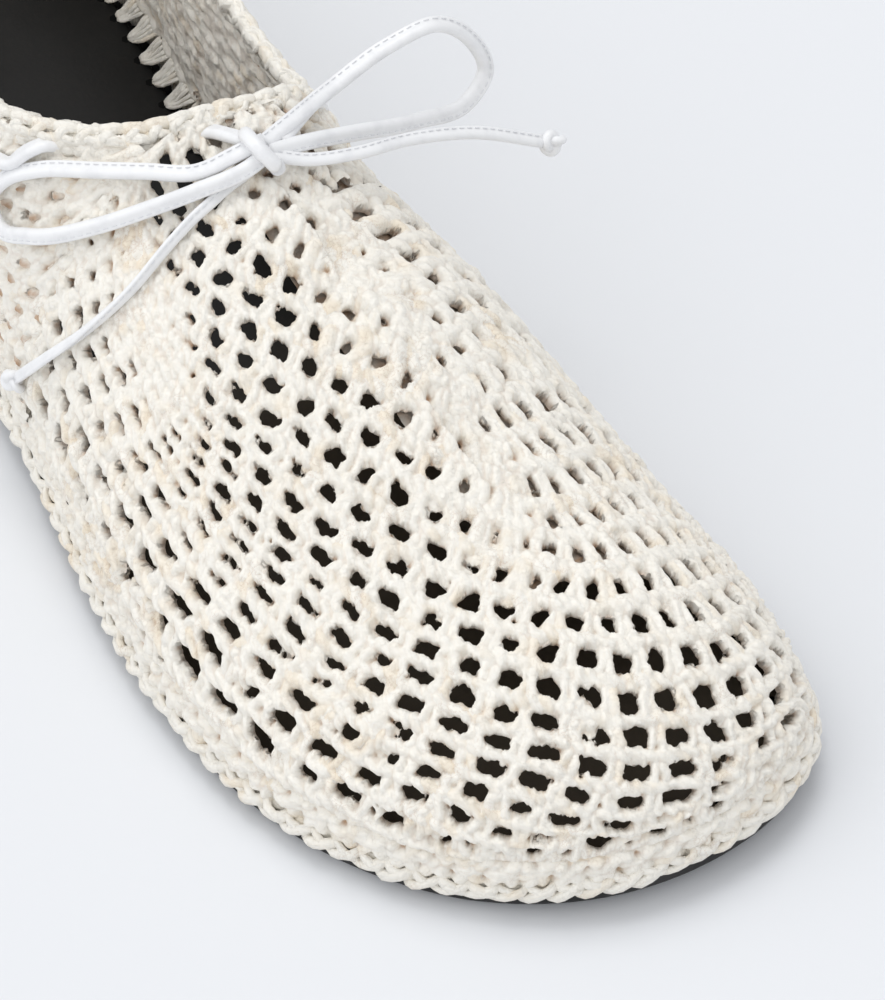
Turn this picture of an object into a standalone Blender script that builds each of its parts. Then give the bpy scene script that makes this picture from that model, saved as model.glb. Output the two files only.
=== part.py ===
import bpy
import numpy as np

MM = 0.001


def table(columns, *rows):
    return dict(zip(columns.split(), np.array(rows, float).T))


# Sizes in millimetres. Right shoe: +Y to the toe, +X to the outer side, heel back at y = 0.
SOLE_LENGTH = 244.0
TOE_TIP_X = -7.0
SOLE = table(
    "from_heel inner_x outer_x",
    (12, -22, 21),
    (38, -30.5, 29),
    (70, -26.5, 30),
    (105, -24, 31.5),
    (140, -33.5, 38.8),
    (172, -37, 43.7),
    (200, -38.6, 41.1),
    (222, -37.3, 30.8),
    (236, -32, 16.6),
)
# Height of the sole's underside and of its upper face along the shoe.
SOLE_PROFILE = table(
    "from_heel under_z top_z",
    (0, 0, 7.0),
    (62, 0, 6.6),
    (84, 1.6, 6.0),
    (116, 1.6, 5.2),
    (142, 0, 4.6),
    (206, 0, 4.5),
    (228, 0.7, 5.0),
    (246, 2.4, 6.4),
)
SOLE_OFFSET = 0.6
SOLE_UNDER_INSET = 1.6
SOLE_PAIRS = 34
INSOLE_THICK = 2.0
INSOLE_OFFSET = -2.9
GAP = 0.3
# the frame's origin lies here on the floor, in the middle of the footprint
FRAME_X = 2.58
FRAME_Y = 121.80

# The upper is a dome over the sole's outline, cut open along the collar.
UPPER_OFFSET = 1.0
WALL = 3.0
FAN_HEEL_Y = 34.0
FAN_TOE_Y = 196.0
THROAT_Y = 119.0
SPINE = table(
    "from_heel x top_z roundness",
    (34, 0, 110, 2.3),
    (70, 0, 98, 2.25),
    (100, -3, 70, 2.2),
    (120, -5, 58.6, 2.18),
    (145, -6, 50.5, 2.18),
    (170, -6, 42.3, 2.18),
    (196, -6, 35.2, 2.18),
)
COLLAR = table(
    "from_heel inner_z outer_z",
    (0, 56, 56),
    (40, 49, 51.5),
    (70, 45, 53),
    (95, 44, 56.5),
    (110, 47, 59),
    (116, 51.5, 60.3),
    (119, 60, 61),
)
# the soft inner quarter leans out beside the throat
LEAN = table(
    "from_heel push",
    (30, 0),
    (60, 8),
    (95, 12),
    (112, 11),
    (121, 4),
    (130, 0),
)
BRAID_WIDTH = 4.4
BRAID_RISE = 1.1
ROLL_WIDTH = 4.0
ROLL_RISE = 0.7

# Crochet lattices over the flattened vamp: a place is a sum of these terms in tens of rows and stitches.
# The rows turn round the toe; the far side has its own count, joined along the closed crown.
NEAR_LATTICE = table(
    "rows stitches x y",
    (0, 0, 13.38, 190.60),
    (0, 1, 28.49, -57.10),
    (0, 2, -13.12, -13.36),
    (0, 3, -3.72, 12.67),
    (0, 4, -2.12, -0.31),
    (1, 0, -35.17, -40.81),
    (1, 1, 3.21, 37.02),
    (1, 2, 37.18, -4.48),
    (1, 3, -22.36, -6.63),
    (2, 0, -4.58, -22.26),
    (2, 1, -12.64, -1.02),
    (2, 2, 19.70, -7.02),
    (3, 0, -5.59, 14.41),
    (3, 1, -15.28, 3.41),
    (4, 0, 10.27, 4.37),
)
FAR_LATTICE = table(
    "rows stitches x y",
    (0, 0, 13.53, 195.67),
    (0, 1, 36.19, -20.51),
    (0, 2, 21.85, 76.07),
    (0, 3, 48.56, 107.74),
    (0, 4, 22.96, 36.55),
    (1, 0, -28.59, -57.83),
    (1, 1, 13.92, -61.74),
    (1, 2, 68.77, -192.51),
    (1, 3, 24.25, -118.90),
    (2, 0, 5.24, -26.25),
    (2, 1, -66.15, -53.76),
    (2, 2, -87.76, -49.36),
    (3, 0, 2.47, 15.69),
    (3, 1, 2.49, -15.27),
    (4, 0, 1.90, -8.99),
)
# Rows and stitches of each lattice, from and to.
PATCHES = (
    (NEAR_LATTICE, -9, 7, -4, 9),
    (FAR_LATTICE, -5, 3, -10, -5),
)
# The crown is closed below these stitches.
CROWN = table(
    "row stitch",
    (0.5, -99),
    (1, -3.5),
    (2, -2.5),
    (3, -1.5),
    (4, -0.5),
    (5, 2.4),
    (6, 2.5),
    (7, 6.5),
)
STITCH_POST = 2.7
ROW_CHAIN = 2.3
GAP_LIMIT = 118
GAP_SMALLEST = 0.62
GAP_LOWEST = 12.0
GAP_FAR_X = -31.0
RIM_CENTRE = (-4.0, 75.0)

LACE_RADIUS = 1.3
LACE_DEPTH = 9.0
LACE_LIFT = 0.6
KNOT_CENTRE = (-5.9, 128.5, 59.9)
KNOT_SIZE = (4.6, 4.0, 2.3)
END_KNOT_SIZE = (2.3, 2.1, 2.1)
LOOP_LEFT = table(
    "x y z",
    (0.8, 126.4, 59.8),
    (5.2, 125.0, 59.2),
    (12.0, 121.2, 59.1),
    (17.6, 116.2, 58.4),
    (23.9, 109.3, 56.2),
    (27.5, 105.0, 51.8),
    (29.4, 103.3, 46.2),
    (29.5, 105.9, 43.0),
    (27.7, 111.9, 45.4),
    (20.8, 120.8, 51.8),
    (14.0, 125.4, 55.6),
    (6.7, 128.6, 58.0),
    (1.0, 130.0, 59.2),
)
LOOP_RIGHT = table(
    "x y z",
    (-12.4, 126.0, 61.4),
    (-21.5, 122.6, 57.6),
    (-33.6, 122.0, 59.8),
    (-41.6, 122.4, 59.6),
    (-47.4, 123.6, 53.6),
    (-49.2, 125.2, 45.6),
    (-44.0, 127.6, 44.3),
    (-34.0, 128.2, 47.2),
    (-20.4, 129.2, 54.6),
    (-12.0, 129.6, 59.4),
)
END_LEFT = table(
    "x y z",
    (6.8, 132.2, 56.2),
    (13.7, 131.4, 53.4),
    (21.6, 131.7, 48.4),
    (29.6, 129.2, 40.4),
    (33.6, 125.0, 33.0),
    (35.7, 119.6, 24.5),
)
END_RIGHT = table(
    "x y z",
    (-9.6, 133.0, 58.6),
    (-18.4, 134.2, 55.6),
    (-28.0, 134.2, 52.4),
    (-40.0, 135.6, 47.4),
    (-51.0, 138.4, 40.6),
)

COLOURS = {
    "raffia": (0.86, 0.81, 0.72),
    "lace": (0.88, 0.88, 0.87),
    "insole": (0.018, 0.017, 0.016),
    "rubber": (0.012, 0.012, 0.013),
}


def follow(x, knots, values):
    # smooth curve through a table's column
    slopes = np.gradient(values, knots)
    x = np.clip(x, knots[0], knots[-1])
    k = np.clip(np.searchsorted(knots, x) - 1, 0, len(knots) - 2)
    h = knots[k + 1] - knots[k]
    t = (x - knots[k]) / h
    start = (1 + 2 * t) * (1 - t) ** 2 * values[k] + t * (1 - t) ** 2 * h * slopes[k]
    end = t * t * (3 - 2 * t) * values[k + 1] + t * t * (t - 1) * h * slopes[k + 1]
    return start + end


def closed_spline(points, count):
    points = np.array(points, float)
    size = len(points)
    span = np.linalg.norm(np.roll(points, -1, 0) - points, axis=1)
    start = np.concatenate([[0], np.cumsum(span)])
    left = np.zeros((size, size))
    right = np.zeros((size, 2))
    for i in range(size):
        before = span[i - 1]
        after = span[i]
        left[i, i - 1] += 1 / before
        left[i, i] += 2 / before + 2 / after
        left[i, (i + 1) % size] += 1 / after
        right[i] = 3 * (points[i] - points[i - 1]) / before ** 2
        right[i] += 3 * (points[(i + 1) % size] - points[i]) / after ** 2
    slope = np.linalg.solve(left, right)
    along = np.linspace(0, start[-1], count, endpoint=False)
    k = np.clip(np.searchsorted(start, along, side="right") - 1, 0, size - 1)
    h = span[k][:, None]
    t = (along - start[k])[:, None] / h
    n = (k + 1) % size
    begin = (1 + 2 * t) * (1 - t) ** 2 * points[k] + t * (1 - t) ** 2 * h * slope[k]
    finish = t * t * (3 - 2 * t) * points[n] + t * t * (t - 1) * h * slope[n]
    return begin + finish


def outline(offset, count=720):
    # heel back first, then the outer side, the toe and the inner side
    outer = np.stack([SOLE["outer_x"], SOLE["from_heel"]], 1)
    inner = np.stack([SOLE["inner_x"], SOLE["from_heel"]], 1)[::-1]
    curve = closed_spline(np.vstack([[(0, 0)], outer, [(TOE_TIP_X, SOLE_LENGTH)], inner]), count)
    along = np.roll(curve, -1, 0) - np.roll(curve, 1, 0)
    normal = np.stack([along[:, 1], -along[:, 0]], 1)
    curve = curve + offset * normal / np.linalg.norm(normal, axis=1)[:, None]
    return np.roll(curve, -curve[:, 1].argmin(), 0)


def halves(curve):
    toe = curve[:, 1].argmax()
    outer = curve[:toe + 1]
    inner = np.vstack([curve[toe:], curve[:1]])[::-1]
    return outer, inner


def under_z(y):
    return np.interp(y, SOLE_PROFILE["from_heel"], SOLE_PROFILE["under_z"])


def top_z(y):
    return follow(y, SOLE_PROFILE["from_heel"], SOLE_PROFILE["top_z"])


def material(name, colour, roughness):
    shader = bpy.data.materials.new(name)
    shader.use_nodes = True
    principled = shader.node_tree.nodes["Principled BSDF"]
    principled.inputs["Base Color"].default_value = (*colour, 1)
    principled.inputs["Roughness"].default_value = roughness
    shader.diffuse_color = (*colour, 1)
    return shader


def add_object(name, points, faces, shader=None):
    mesh = bpy.data.meshes.new(name)
    placed = (np.asarray(points) - (FRAME_X, FRAME_Y, 0)) * MM
    mesh.from_pydata([tuple(p) for p in placed], [], [tuple(f) for f in faces])
    mesh.validate()
    if shader:
        mesh.materials.append(shader)
    item = bpy.data.objects.new(name, mesh)
    bpy.context.collection.objects.link(item)
    return item


def paired_ring(offset, height):
    # ring with an outer and an inner point at each distance from the heel
    outer, inner = halves(outline(offset))
    low, high = outer[0, 1], outer[-1, 1]
    y = (low + high) / 2 - (high - low) / 2 * np.cos(np.linspace(0, np.pi, SOLE_PAIRS + 1))
    z = height(y)
    out_side = np.stack([np.interp(y, outer[:, 1], outer[:, 0]), y, z], 1)
    in_side = np.stack([np.interp(y, inner[:, 1], inner[:, 0]), y, z], 1)
    return np.vstack([out_side, in_side[-2:0:-1]])


def slab(name, rings, shader):
    # closed solid through stacked rings, the first is the underside
    size = 2 * SOLE_PAIRS
    points = np.vstack(rings)
    faces = []
    for level in range(len(rings) - 1):
        for k in range(size):
            n = (k + 1) % size
            low, high = level * size, (level + 1) * size
            faces.append((low + k, low + n, high + n, high + k))
    last = (len(rings) - 1) * size
    for k in range(SOLE_PAIRS):
        quad = [k, k + 1, (size - k - 1) % size, (size - k) % size]
        quad = list(dict.fromkeys(quad))
        faces.append([last + q for q in quad])
        faces.append(quad[::-1])
    return add_object(name, points, faces, shader)


def spine(y):
    y = np.clip(y, FAN_HEEL_Y, FAN_TOE_Y)
    return [follow(y, SPINE["from_heel"], SPINE[c]) for c in ("x", "top_z", "roundness")] + [y]


def wales(edges, steps=90):
    # lines over the dome from points of its edge up to the spine, with their lengths
    x, top, power, y = spine(edges[:, 1])
    share = np.cos(np.linspace(0, np.pi / 2, steps)) ** 0.87
    foot = np.stack([x, y], 1)
    plan = foot[:, None] + (edges - foot)[:, None] * share[None, :, None]
    push = np.where(edges[:, 0] < x, follow(edges[:, 1], LEAN["from_heel"], LEAN["push"]), 0)
    plan[..., 0] -= push[:, None] * share * (1 - share ** 4)
    rise = (1 - share[None, :] ** power[:, None]) ** (1 / power[:, None])
    low = top_z(edges[:, 1]) + GAP
    z = low[:, None] + (top - low)[:, None] * rise
    points = np.concatenate([plan, z[..., None]], 2)
    length = np.cumsum(np.linalg.norm(np.diff(points, axis=1), axis=2), axis=1)
    return points, np.concatenate([np.zeros((len(edges), 1)), length], 1)


def along_wale(points, length, where):
    return np.stack([np.interp(where, length, points[:, c]) for c in range(3)], -1)


def collar_length(points, length, edge, outer):
    # wall length from the sole up to the collar, or to the spine in front of the throat
    if edge[1] >= THROAT_Y:
        return length[-1], False
    z = follow(edge[1], COLLAR["from_heel"], COLLAR["outer_z" if outer else "inner_z"])
    if z >= points[-1, 2]:
        return length[-1], False
    return np.interp(z, points[:, 2], length), True


def fan(curve, centre):
    # angle of each point of the edge about a fan's centre, from +Y towards the outer side
    return np.arctan2(curve[:, 0] - centre[0], curve[:, 1] - centre[1])


def surface(flat):
    # points on the dome from flattened places: length from the spine, square to it or round a fan
    flat = np.atleast_2d(flat)
    curve = outline(UPPER_OFFSET)
    outer, inner = halves(curve)
    toe = np.array([spine(FAN_TOE_Y)[0], FAN_TOE_Y])
    heel = np.array([spine(FAN_HEEL_Y)[0], FAN_HEEL_Y])
    front = curve[curve[:, 1] >= FAN_TOE_Y]
    back = np.vstack([inner[inner[:, 1] <= FAN_HEEL_Y][::-1], outer[outer[:, 1] <= FAN_HEEL_Y]])
    edges = []
    reach = []
    for x, y in flat:
        if y > FAN_TOE_Y:
            angle = np.arctan2(x - toe[0], y - toe[1])
            order = fan(front, toe)
            edges.append([np.interp(angle, order[::-1], front[::-1, c]) for c in range(2)])
            reach.append(np.hypot(x - toe[0], y - toe[1]))
        elif y < FAN_HEEL_Y:
            angle = np.arctan2(x - heel[0], heel[1] - y)
            order = np.arctan2(back[:, 0] - heel[0], heel[1] - back[:, 1])
            edges.append([np.interp(angle, order, back[:, c]) for c in range(2)])
            reach.append(np.hypot(x - heel[0], y - heel[1]))
        else:
            middle = spine(y)[0]
            side = outer if x > middle else inner
            edges.append([np.interp(y, side[:, 1], side[:, 0]), y])
            reach.append(abs(x - middle))
    points, length = wales(np.array(edges))
    spots = [along_wale(p, s, max(s[-1] - r, 0)) for p, s, r in zip(points, length, reach)]
    return np.array(spots)


def surface_normal(flat, step=0.6):
    flat = np.atleast_2d(flat)
    across = surface(flat + (step, 0)) - surface(flat - (step, 0))
    along = surface(flat + (0, step)) - surface(flat - (0, step))
    normal = np.cross(across, along)
    return normal / np.linalg.norm(normal, axis=1)[:, None]


def stations():
    # edge points of the wales: outer side to the toe, round it, back along the inner side, round the heel
    curve = outline(UPPER_OFFSET)
    outer, inner = halves(curve)
    rear = np.linspace(FAN_HEEL_Y, 103, 10)
    throat = np.array([108, 112, 115, 117.3])
    vamp = np.linspace(THROAT_Y, FAN_TOE_Y, 12)
    y = np.concatenate([rear, throat, vamp])
    front = curve[curve[:, 1] > FAN_TOE_Y]
    order = np.linspace(0, len(front) - 1, 24)[1:-1].round().astype(int)
    toe = front[order]
    back = np.vstack([inner[inner[:, 1] < FAN_HEEL_Y][::-1], outer[outer[:, 1] < FAN_HEEL_Y][1:]])
    order = np.linspace(0, len(back) - 1, 16)[1:-1].round().astype(int)
    heel = back[order]
    out_side = np.stack([np.interp(y, outer[:, 1], outer[:, 0]), y], 1)
    in_side = np.stack([np.interp(y, inner[:, 1], inner[:, 0]), y], 1)[::-1]
    return np.vstack([out_side, toe, in_side, heel])


def upper_sheet():
    # middle sheet of the wall as welded points and faces, with each point's swell
    edges = stations()
    points, length = wales(edges)
    index = {}
    spots = []
    swell = []
    columns = []
    middle = spine(edges[:, 1])[0]
    for k, edge in enumerate(edges):
        top, cut = collar_length(points[k], length[k], edge, edge[0] > middle[k])
        body = np.linspace(BRAID_WIDTH, top - ROLL_WIDTH, 8)
        rows = np.concatenate([[0, BRAID_WIDTH / 2], body, [top - ROLL_WIDTH / 2, top]])
        column = []
        for where in rows:
            spot = along_wale(points[k], length[k], where)
            key = tuple(np.round(spot, 3) + 0.0)
            if key not in index:
                index[key] = len(spots)
                spots.append(spot)
                rise = BRAID_RISE * np.sin(np.pi * min(where / BRAID_WIDTH, 1))
                if cut:
                    rise += ROLL_RISE * np.sin(np.pi * min((top - where) / ROLL_WIDTH, 1))
                swell.append(rise)
            column.append(index[key])
        columns.append(column)
    faces = []
    for k, column in enumerate(columns):
        after = columns[(k + 1) % len(columns)]
        for r in range(len(column) - 1):
            face = dict.fromkeys((column[r], after[r], after[r + 1], column[r + 1]))
            if len(face) > 2:
                faces.append(tuple(face))
    return np.array(spots), faces, np.array(swell)


def sheet_normals(points, faces):
    normals = np.zeros_like(points)
    for face in faces:
        corner = points[list(face)]
        area = np.cross(corner[2] - corner[0], corner[-1] - corner[1])
        normals[list(face)] += area
    return normals / np.linalg.norm(normals, axis=1)[:, None]


def upper(shader):
    sheet, faces, swell = upper_sheet()
    normals = sheet_normals(sheet, faces)
    if normals[:, 2].sum() < 0:
        faces = [f[::-1] for f in faces]
        normals = -normals
    outside = sheet + normals * swell[:, None]
    inside = sheet - normals * WALL
    inside[:, 2] = np.where(sheet[:, 2] < top_z(sheet[:, 1]) + GAP + 0.01, sheet[:, 2], inside[:, 2])
    count = len(sheet)
    shell = list(faces) + [tuple(count + v for v in f[::-1]) for f in faces]
    once = {}
    for face in faces:
        for a, b in zip(face, face[1:] + face[:1]):
            if (b, a) in once:
                del once[(b, a)]
            else:
                once[(a, b)] = True
    shell += [(b, a, count + a, count + b) for a, b in once]
    return add_object("upper", np.vstack([outside, inside]), shell, shader)


def lattice(terms, row, stitch):
    row, stitch = row / 10, stitch / 10
    weight = row ** terms["rows"] * stitch ** terms["stitches"]
    return np.array([weight @ terms["x"], weight @ terms["y"]])


def gap_places():
    # the widest gaps of the crochet: lattice, place, half length along the row and half width across it
    found = []
    for patch, (terms, row_from, row_to, stitch_from, stitch_to) in enumerate(PATCHES):
        for row in range(row_from, row_to + 1):
            for stitch in range(stitch_from, stitch_to + 1):
                flat = lattice(terms, row, stitch)
                along = lattice(terms, row, stitch + 0.5) - lattice(terms, row, stitch - 0.5)
                across = lattice(terms, row + 0.5, stitch) - lattice(terms, row - 0.5, stitch)
                half = (np.linalg.norm(along) - STITCH_POST) / 2
                area = across[0] * along[1] - across[1] * along[0]
                width = (area / np.linalg.norm(along) - ROW_CHAIN) / 2
                shut = patch == 0 and stitch < np.interp(row, CROWN["row"], CROWN["stitch"])
                if min(half, width) < GAP_SMALLEST or shut or flat[1] < THROAT_Y + 12:
                    continue
                spot = surface(flat)[0]
                if spot[2] < GAP_LOWEST or spot[0] < GAP_FAR_X:
                    continue
                found.append((half * width, patch, row, stitch, half, width))
    found.sort(reverse=True)
    return found[:GAP_LIMIT]


def gap_cutters():
    # one six-sided plug through the wall at each gap
    points = []
    faces = []
    for _, patch, row, stitch, half, width in gap_places():
        terms = PATCHES[patch][0]
        flat = lattice(terms, row, stitch)
        centre = surface(flat)[0]
        normal = surface_normal(flat)[0]
        along = surface(lattice(terms, row, stitch + 0.3))[0] - surface(lattice(terms, row, stitch - 0.3))[0]
        along -= normal * (along @ normal)
        along /= np.linalg.norm(along)
        across = np.cross(normal, along)
        base = len(points)
        for depth in (-WALL - 2.5, 2.5):
            for k in range(6):
                angle = np.pi * k / 3
                side = along * half * np.cos(angle) + across * width * 1.12 * np.sin(angle)
                points.append(centre + side + normal * depth)
        for k in range(6):
            n = (k + 1) % 6
            faces.append((base + k, base + n, base + 6 + n, base + 6 + k))
        faces.append([base + k for k in range(5, -1, -1)])
        faces.append([base + 6 + k for k in range(6)])
    cutters = add_object("gap_cutters", points, faces)
    cutters.hide_render = True
    cutters.display_type = "WIRE"
    return cutters


def smooth_path(points, step):
    points = np.array(points, float)
    span = np.linalg.norm(np.diff(points, axis=0), axis=1)
    start = np.concatenate([[0], np.cumsum(span)])
    count = max(int(start[-1] / step), 4)
    along = np.linspace(0, start[-1], count + 1)
    return np.stack([follow(along, start, points[:, c]) for c in range(3)], 1)


def tube(name, path, radius, shader, sides=8):
    # round cord along a path with capped ends
    along = np.gradient(path, axis=0)
    along /= np.linalg.norm(along, axis=1)[:, None]
    side = np.cross(along[0], (0, 0, 1))
    side /= np.linalg.norm(side)
    points = []
    for spot, ahead in zip(path, along):
        side = side - ahead * (side @ ahead)
        side /= np.linalg.norm(side)
        other = np.cross(ahead, side)
        for k in range(sides):
            angle = 2 * np.pi * k / sides
            points.append(spot + radius * (side * np.cos(angle) + other * np.sin(angle)))
    faces = []
    for ring in range(len(path) - 1):
        for k in range(sides):
            n = (k + 1) % sides
            base = ring * sides
            faces.append((base + k, base + n, base + sides + n, base + sides + k))
    faces.append(list(range(sides))[::-1])
    faces.append([(len(path) - 1) * sides + k for k in range(sides)])
    return add_object(name, points, faces, shader)


def ball(name, centre, size, shader, around=12, levels=7):
    points = [np.array(centre) - (0, 0, size[2])]
    for level in range(1, levels):
        tilt = np.pi * level / levels - np.pi / 2
        for k in range(around):
            angle = 2 * np.pi * k / around
            unit = (np.cos(tilt) * np.cos(angle), np.cos(tilt) * np.sin(angle), np.sin(tilt))
            points.append(np.array(centre) + np.array(size) * unit)
    points.append(np.array(centre) + (0, 0, size[2]))
    faces = []
    for k in range(around):
        n = (k + 1) % around
        faces.append((0, 1 + n, 1 + k))
        for level in range(levels - 2):
            low, high = 1 + level * around, 1 + (level + 1) * around
            faces.append((low + k, low + n, high + n, high + k))
        last = 1 + (levels - 2) * around
        faces.append((last + k, last + n, len(points) - 1))
    return add_object(name, points, faces, shader)


def rows_of(path):
    return np.stack([path["x"], path["y"], path["z"]], 1)


def drawstring_path():
    # follows the collar a little below its edge, from one side of the knot round the heel to the other
    edges = stations()
    points, length = wales(edges)
    x, _, _, y = spine(edges[:, 1])
    rim = []
    for k, edge in enumerate(edges):
        top, cut = collar_length(points[k], length[k], edge, edge[0] > x[k])
        if cut:
            foot = np.array([x[k], y[k]])
            away = (edge - foot) / np.linalg.norm(edge - foot)
            rim.append(foot + away * (length[k, -1] - top + LACE_DEPTH))
    rim = np.array(rim)
    rim = rim[(rim[:, 1] < 113.5)]
    order = np.argsort(np.arctan2(rim[:, 0] - RIM_CENTRE[0], rim[:, 1] - RIM_CENTRE[1]) % (2 * np.pi))
    rim = rim[order]
    start = np.array([[-0.4, 122.8], [6.0, 119.4]])
    finish = np.array([[-19.0, 121.5], [-13.4, 126.6]])
    flat = np.vstack([start, rim, finish])
    lifted = surface(flat) + surface_normal(flat) * (LACE_RADIUS + LACE_LIFT)
    return smooth_path(lifted, 6.0)


def main():
    for item in list(bpy.data.objects):
        bpy.data.objects.remove(item)
    raffia = material("raffia", COLOURS["raffia"], 0.8)
    lace = material("lace", COLOURS["lace"], 0.45)
    leather = material("insole_leather", COLOURS["insole"], 0.6)
    rubber = material("sole_rubber", COLOURS["rubber"], 0.7)

    slab("outsole", [
        paired_ring(SOLE_OFFSET - SOLE_UNDER_INSET, under_z),
        paired_ring(SOLE_OFFSET, lambda y: under_z(y) + 1.4),
        paired_ring(SOLE_OFFSET, top_z),
    ], rubber)
    slab("insole", [
        paired_ring(INSOLE_OFFSET, lambda y: top_z(y) + GAP),
        paired_ring(INSOLE_OFFSET, lambda y: top_z(y) + GAP + INSOLE_THICK),
    ], leather)

    shell = upper(raffia)
    cut = shell.modifiers.new("gaps", "BOOLEAN")
    cut.operation = "DIFFERENCE"
    cut.solver = "EXACT"
    cut.object = gap_cutters()

    tube("drawstring", drawstring_path(), LACE_RADIUS, lace)
    ball("bow_knot", KNOT_CENTRE, KNOT_SIZE, lace)
    tube("bow_loop_left", smooth_path(rows_of(LOOP_LEFT), 4.0), LACE_RADIUS, lace)
    tube("bow_loop_right", smooth_path(rows_of(LOOP_RIGHT), 4.0), LACE_RADIUS, lace)
    for side, path in (("left", END_LEFT), ("right", END_RIGHT)):
        line = rows_of(path)
        tube("bow_end_" + side, smooth_path(line, 4.0), LACE_RADIUS, lace)
        ahead = line[-1] - line[-2]
        ahead /= np.linalg.norm(ahead)
        ball("end_knot_" + side, line[-1] + ahead * (max(END_KNOT_SIZE) + GAP), END_KNOT_SIZE, lace)


main()
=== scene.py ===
import bpy
import numpy as np
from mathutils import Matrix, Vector


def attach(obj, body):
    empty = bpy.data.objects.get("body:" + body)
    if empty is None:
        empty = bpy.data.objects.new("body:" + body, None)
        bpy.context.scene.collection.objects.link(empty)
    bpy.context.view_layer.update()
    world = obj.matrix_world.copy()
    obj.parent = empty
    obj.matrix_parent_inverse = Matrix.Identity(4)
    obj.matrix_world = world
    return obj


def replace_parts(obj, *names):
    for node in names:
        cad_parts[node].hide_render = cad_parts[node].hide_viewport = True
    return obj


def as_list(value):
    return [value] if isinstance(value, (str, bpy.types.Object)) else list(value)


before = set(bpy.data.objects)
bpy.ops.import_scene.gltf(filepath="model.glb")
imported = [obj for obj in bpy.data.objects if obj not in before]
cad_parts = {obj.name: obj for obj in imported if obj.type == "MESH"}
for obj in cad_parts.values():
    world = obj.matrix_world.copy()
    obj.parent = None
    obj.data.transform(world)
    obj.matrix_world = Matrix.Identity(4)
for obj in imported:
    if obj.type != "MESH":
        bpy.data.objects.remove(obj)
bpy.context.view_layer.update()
mm = 0.001
rng = np.random.default_rng(11)
print("frame loaded:", len(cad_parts), "solids")


def table(columns, *rows):
    return dict(zip(columns.split(), np.array(rows, float).T))


# the shoe's own form in millimetres, heel back at y = 0, +Y to the toe, +X to the outer side
shape = {
    "frameX": 2.58,
    "frameY": 121.80,
    "soleLength": 244.0,
    "toeTipX": -7.0,
    "sole": table(
        "fromHeel innerX outerX",
        (12, -22, 21), (38, -30.5, 29), (70, -26.5, 30), (105, -24, 31.5), (140, -33.5, 38.8),
        (172, -37, 43.7), (200, -38.6, 41.1), (222, -37.3, 30.8), (236, -32, 16.6),
    ),
    "profile": table(
        "fromHeel underZ topZ",
        (0, 0, 7.0), (62, 0, 6.6), (84, 1.6, 6.0), (116, 1.6, 5.2),
        (142, 0, 4.6), (206, 0, 4.5), (228, 0.7, 5.0), (246, 2.4, 6.4),
    ),
    "wallOffset": 1.0,  # how far the wall stands outside the sole's outline
    "gap": 0.3,
    "fanHeel": 34.0,
    "fanToe": 196.0,
    "throat": 119.0,
    "domeRings": 120,
    "domePower": 0.87,
    "spine": table(
        "fromHeel x topZ roundness",
        (34, 0, 110, 2.3), (70, 0, 98, 2.25), (100, -3, 70, 2.2), (120, -5, 58.6, 2.18),
        (145, -6, 50.5, 2.18), (170, -6, 42.3, 2.18), (196, -6, 35.2, 2.18),
    ),
    "collar": table(
        "fromHeel innerZ outerZ",
        (0, 56, 56), (40, 49, 51.5), (70, 45, 53), (95, 44, 56.5), (110, 47, 59), (116, 51.5, 60.3), (119, 60, 61),
    ),
    # the soft inner quarter leans out beside the throat
    "lean": table("fromHeel push", (30, 0), (60, 8), (95, 12), (112, 11), (121, 4), (130, 0)),
    # soft folds drawn in by the lace, in outline points: half width, depth and reach below the collar
    "folds": table(
        "centre width depth reach",
        (472, 9, 2.6, 26), (497, 8, -1.6, 24), (515, 10, 2.4, 30), (541, 9, -1.8, 26),
        (560, 11, 2.0, 24), (592, 12, -1.4, 22), (625, 12, 1.6, 20), (120, 9, 1.5, 20),
        (146, 8, -1.3, 20), (170, 9, 1.9, 22), (192, 8, -1.4, 24), (212, 8, 1.6, 22),
    ),
}
edgeCount = 720  # points round the outline


def unit(vectors):
    return vectors / np.maximum(np.linalg.norm(vectors, axis=-1, keepdims=True), 1e-9)


def runAlong(points):
    # length from the first point of a line to each one
    steps = np.linalg.norm(np.diff(points, axis=-2), axis=-1)
    return np.concatenate([np.zeros(steps.shape[:-1] + (1,)), np.cumsum(steps, -1)], -1)


def resample(points, run, where):
    return np.stack([np.interp(where, run, column) for column in points.T], 1)


def hermite(t, h, start, end, startSlope, endSlope):
    first = (1 + 2 * t) * (1 - t) ** 2 * start + t * (1 - t) ** 2 * h * startSlope
    second = t * t * (3 - 2 * t) * end + t * t * (t - 1) * h * endSlope
    return first + second


def follow(x, knots, values):
    # smooth curve through a table's column
    slopes = np.gradient(values, knots)
    x = np.clip(x, knots[0], knots[-1])
    k = np.clip(np.searchsorted(knots, x) - 1, 0, len(knots) - 2)
    h = knots[k + 1] - knots[k]
    return hermite((x - knots[k]) / h, h, values[k], values[k + 1], slopes[k], slopes[k + 1])


def closedSpline(points, count):
    points = np.array(points, float)
    size = len(points)
    span = np.linalg.norm(np.roll(points, -1, 0) - points, axis=1)
    start = np.concatenate([[0], np.cumsum(span)])
    left = np.zeros((size, size))
    right = np.zeros((size, 2))
    for i in range(size):
        before, after = span[i - 1], span[i]
        left[i, i - 1] += 1 / before
        left[i, i] += 2 / before + 2 / after
        left[i, (i + 1) % size] += 1 / after
        right[i] = 3 * (points[i] - points[i - 1]) / before ** 2
        right[i] += 3 * (points[(i + 1) % size] - points[i]) / after ** 2
    slope = np.linalg.solve(left, right)
    along = np.linspace(0, start[-1], count, endpoint=False)
    k = np.clip(np.searchsorted(start, along, side="right") - 1, 0, size - 1)
    h = span[k][:, None]
    n = (k + 1) % size
    return hermite((along - start[k])[:, None] / h, h, points[k], points[n], slope[k], slope[n])


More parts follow.
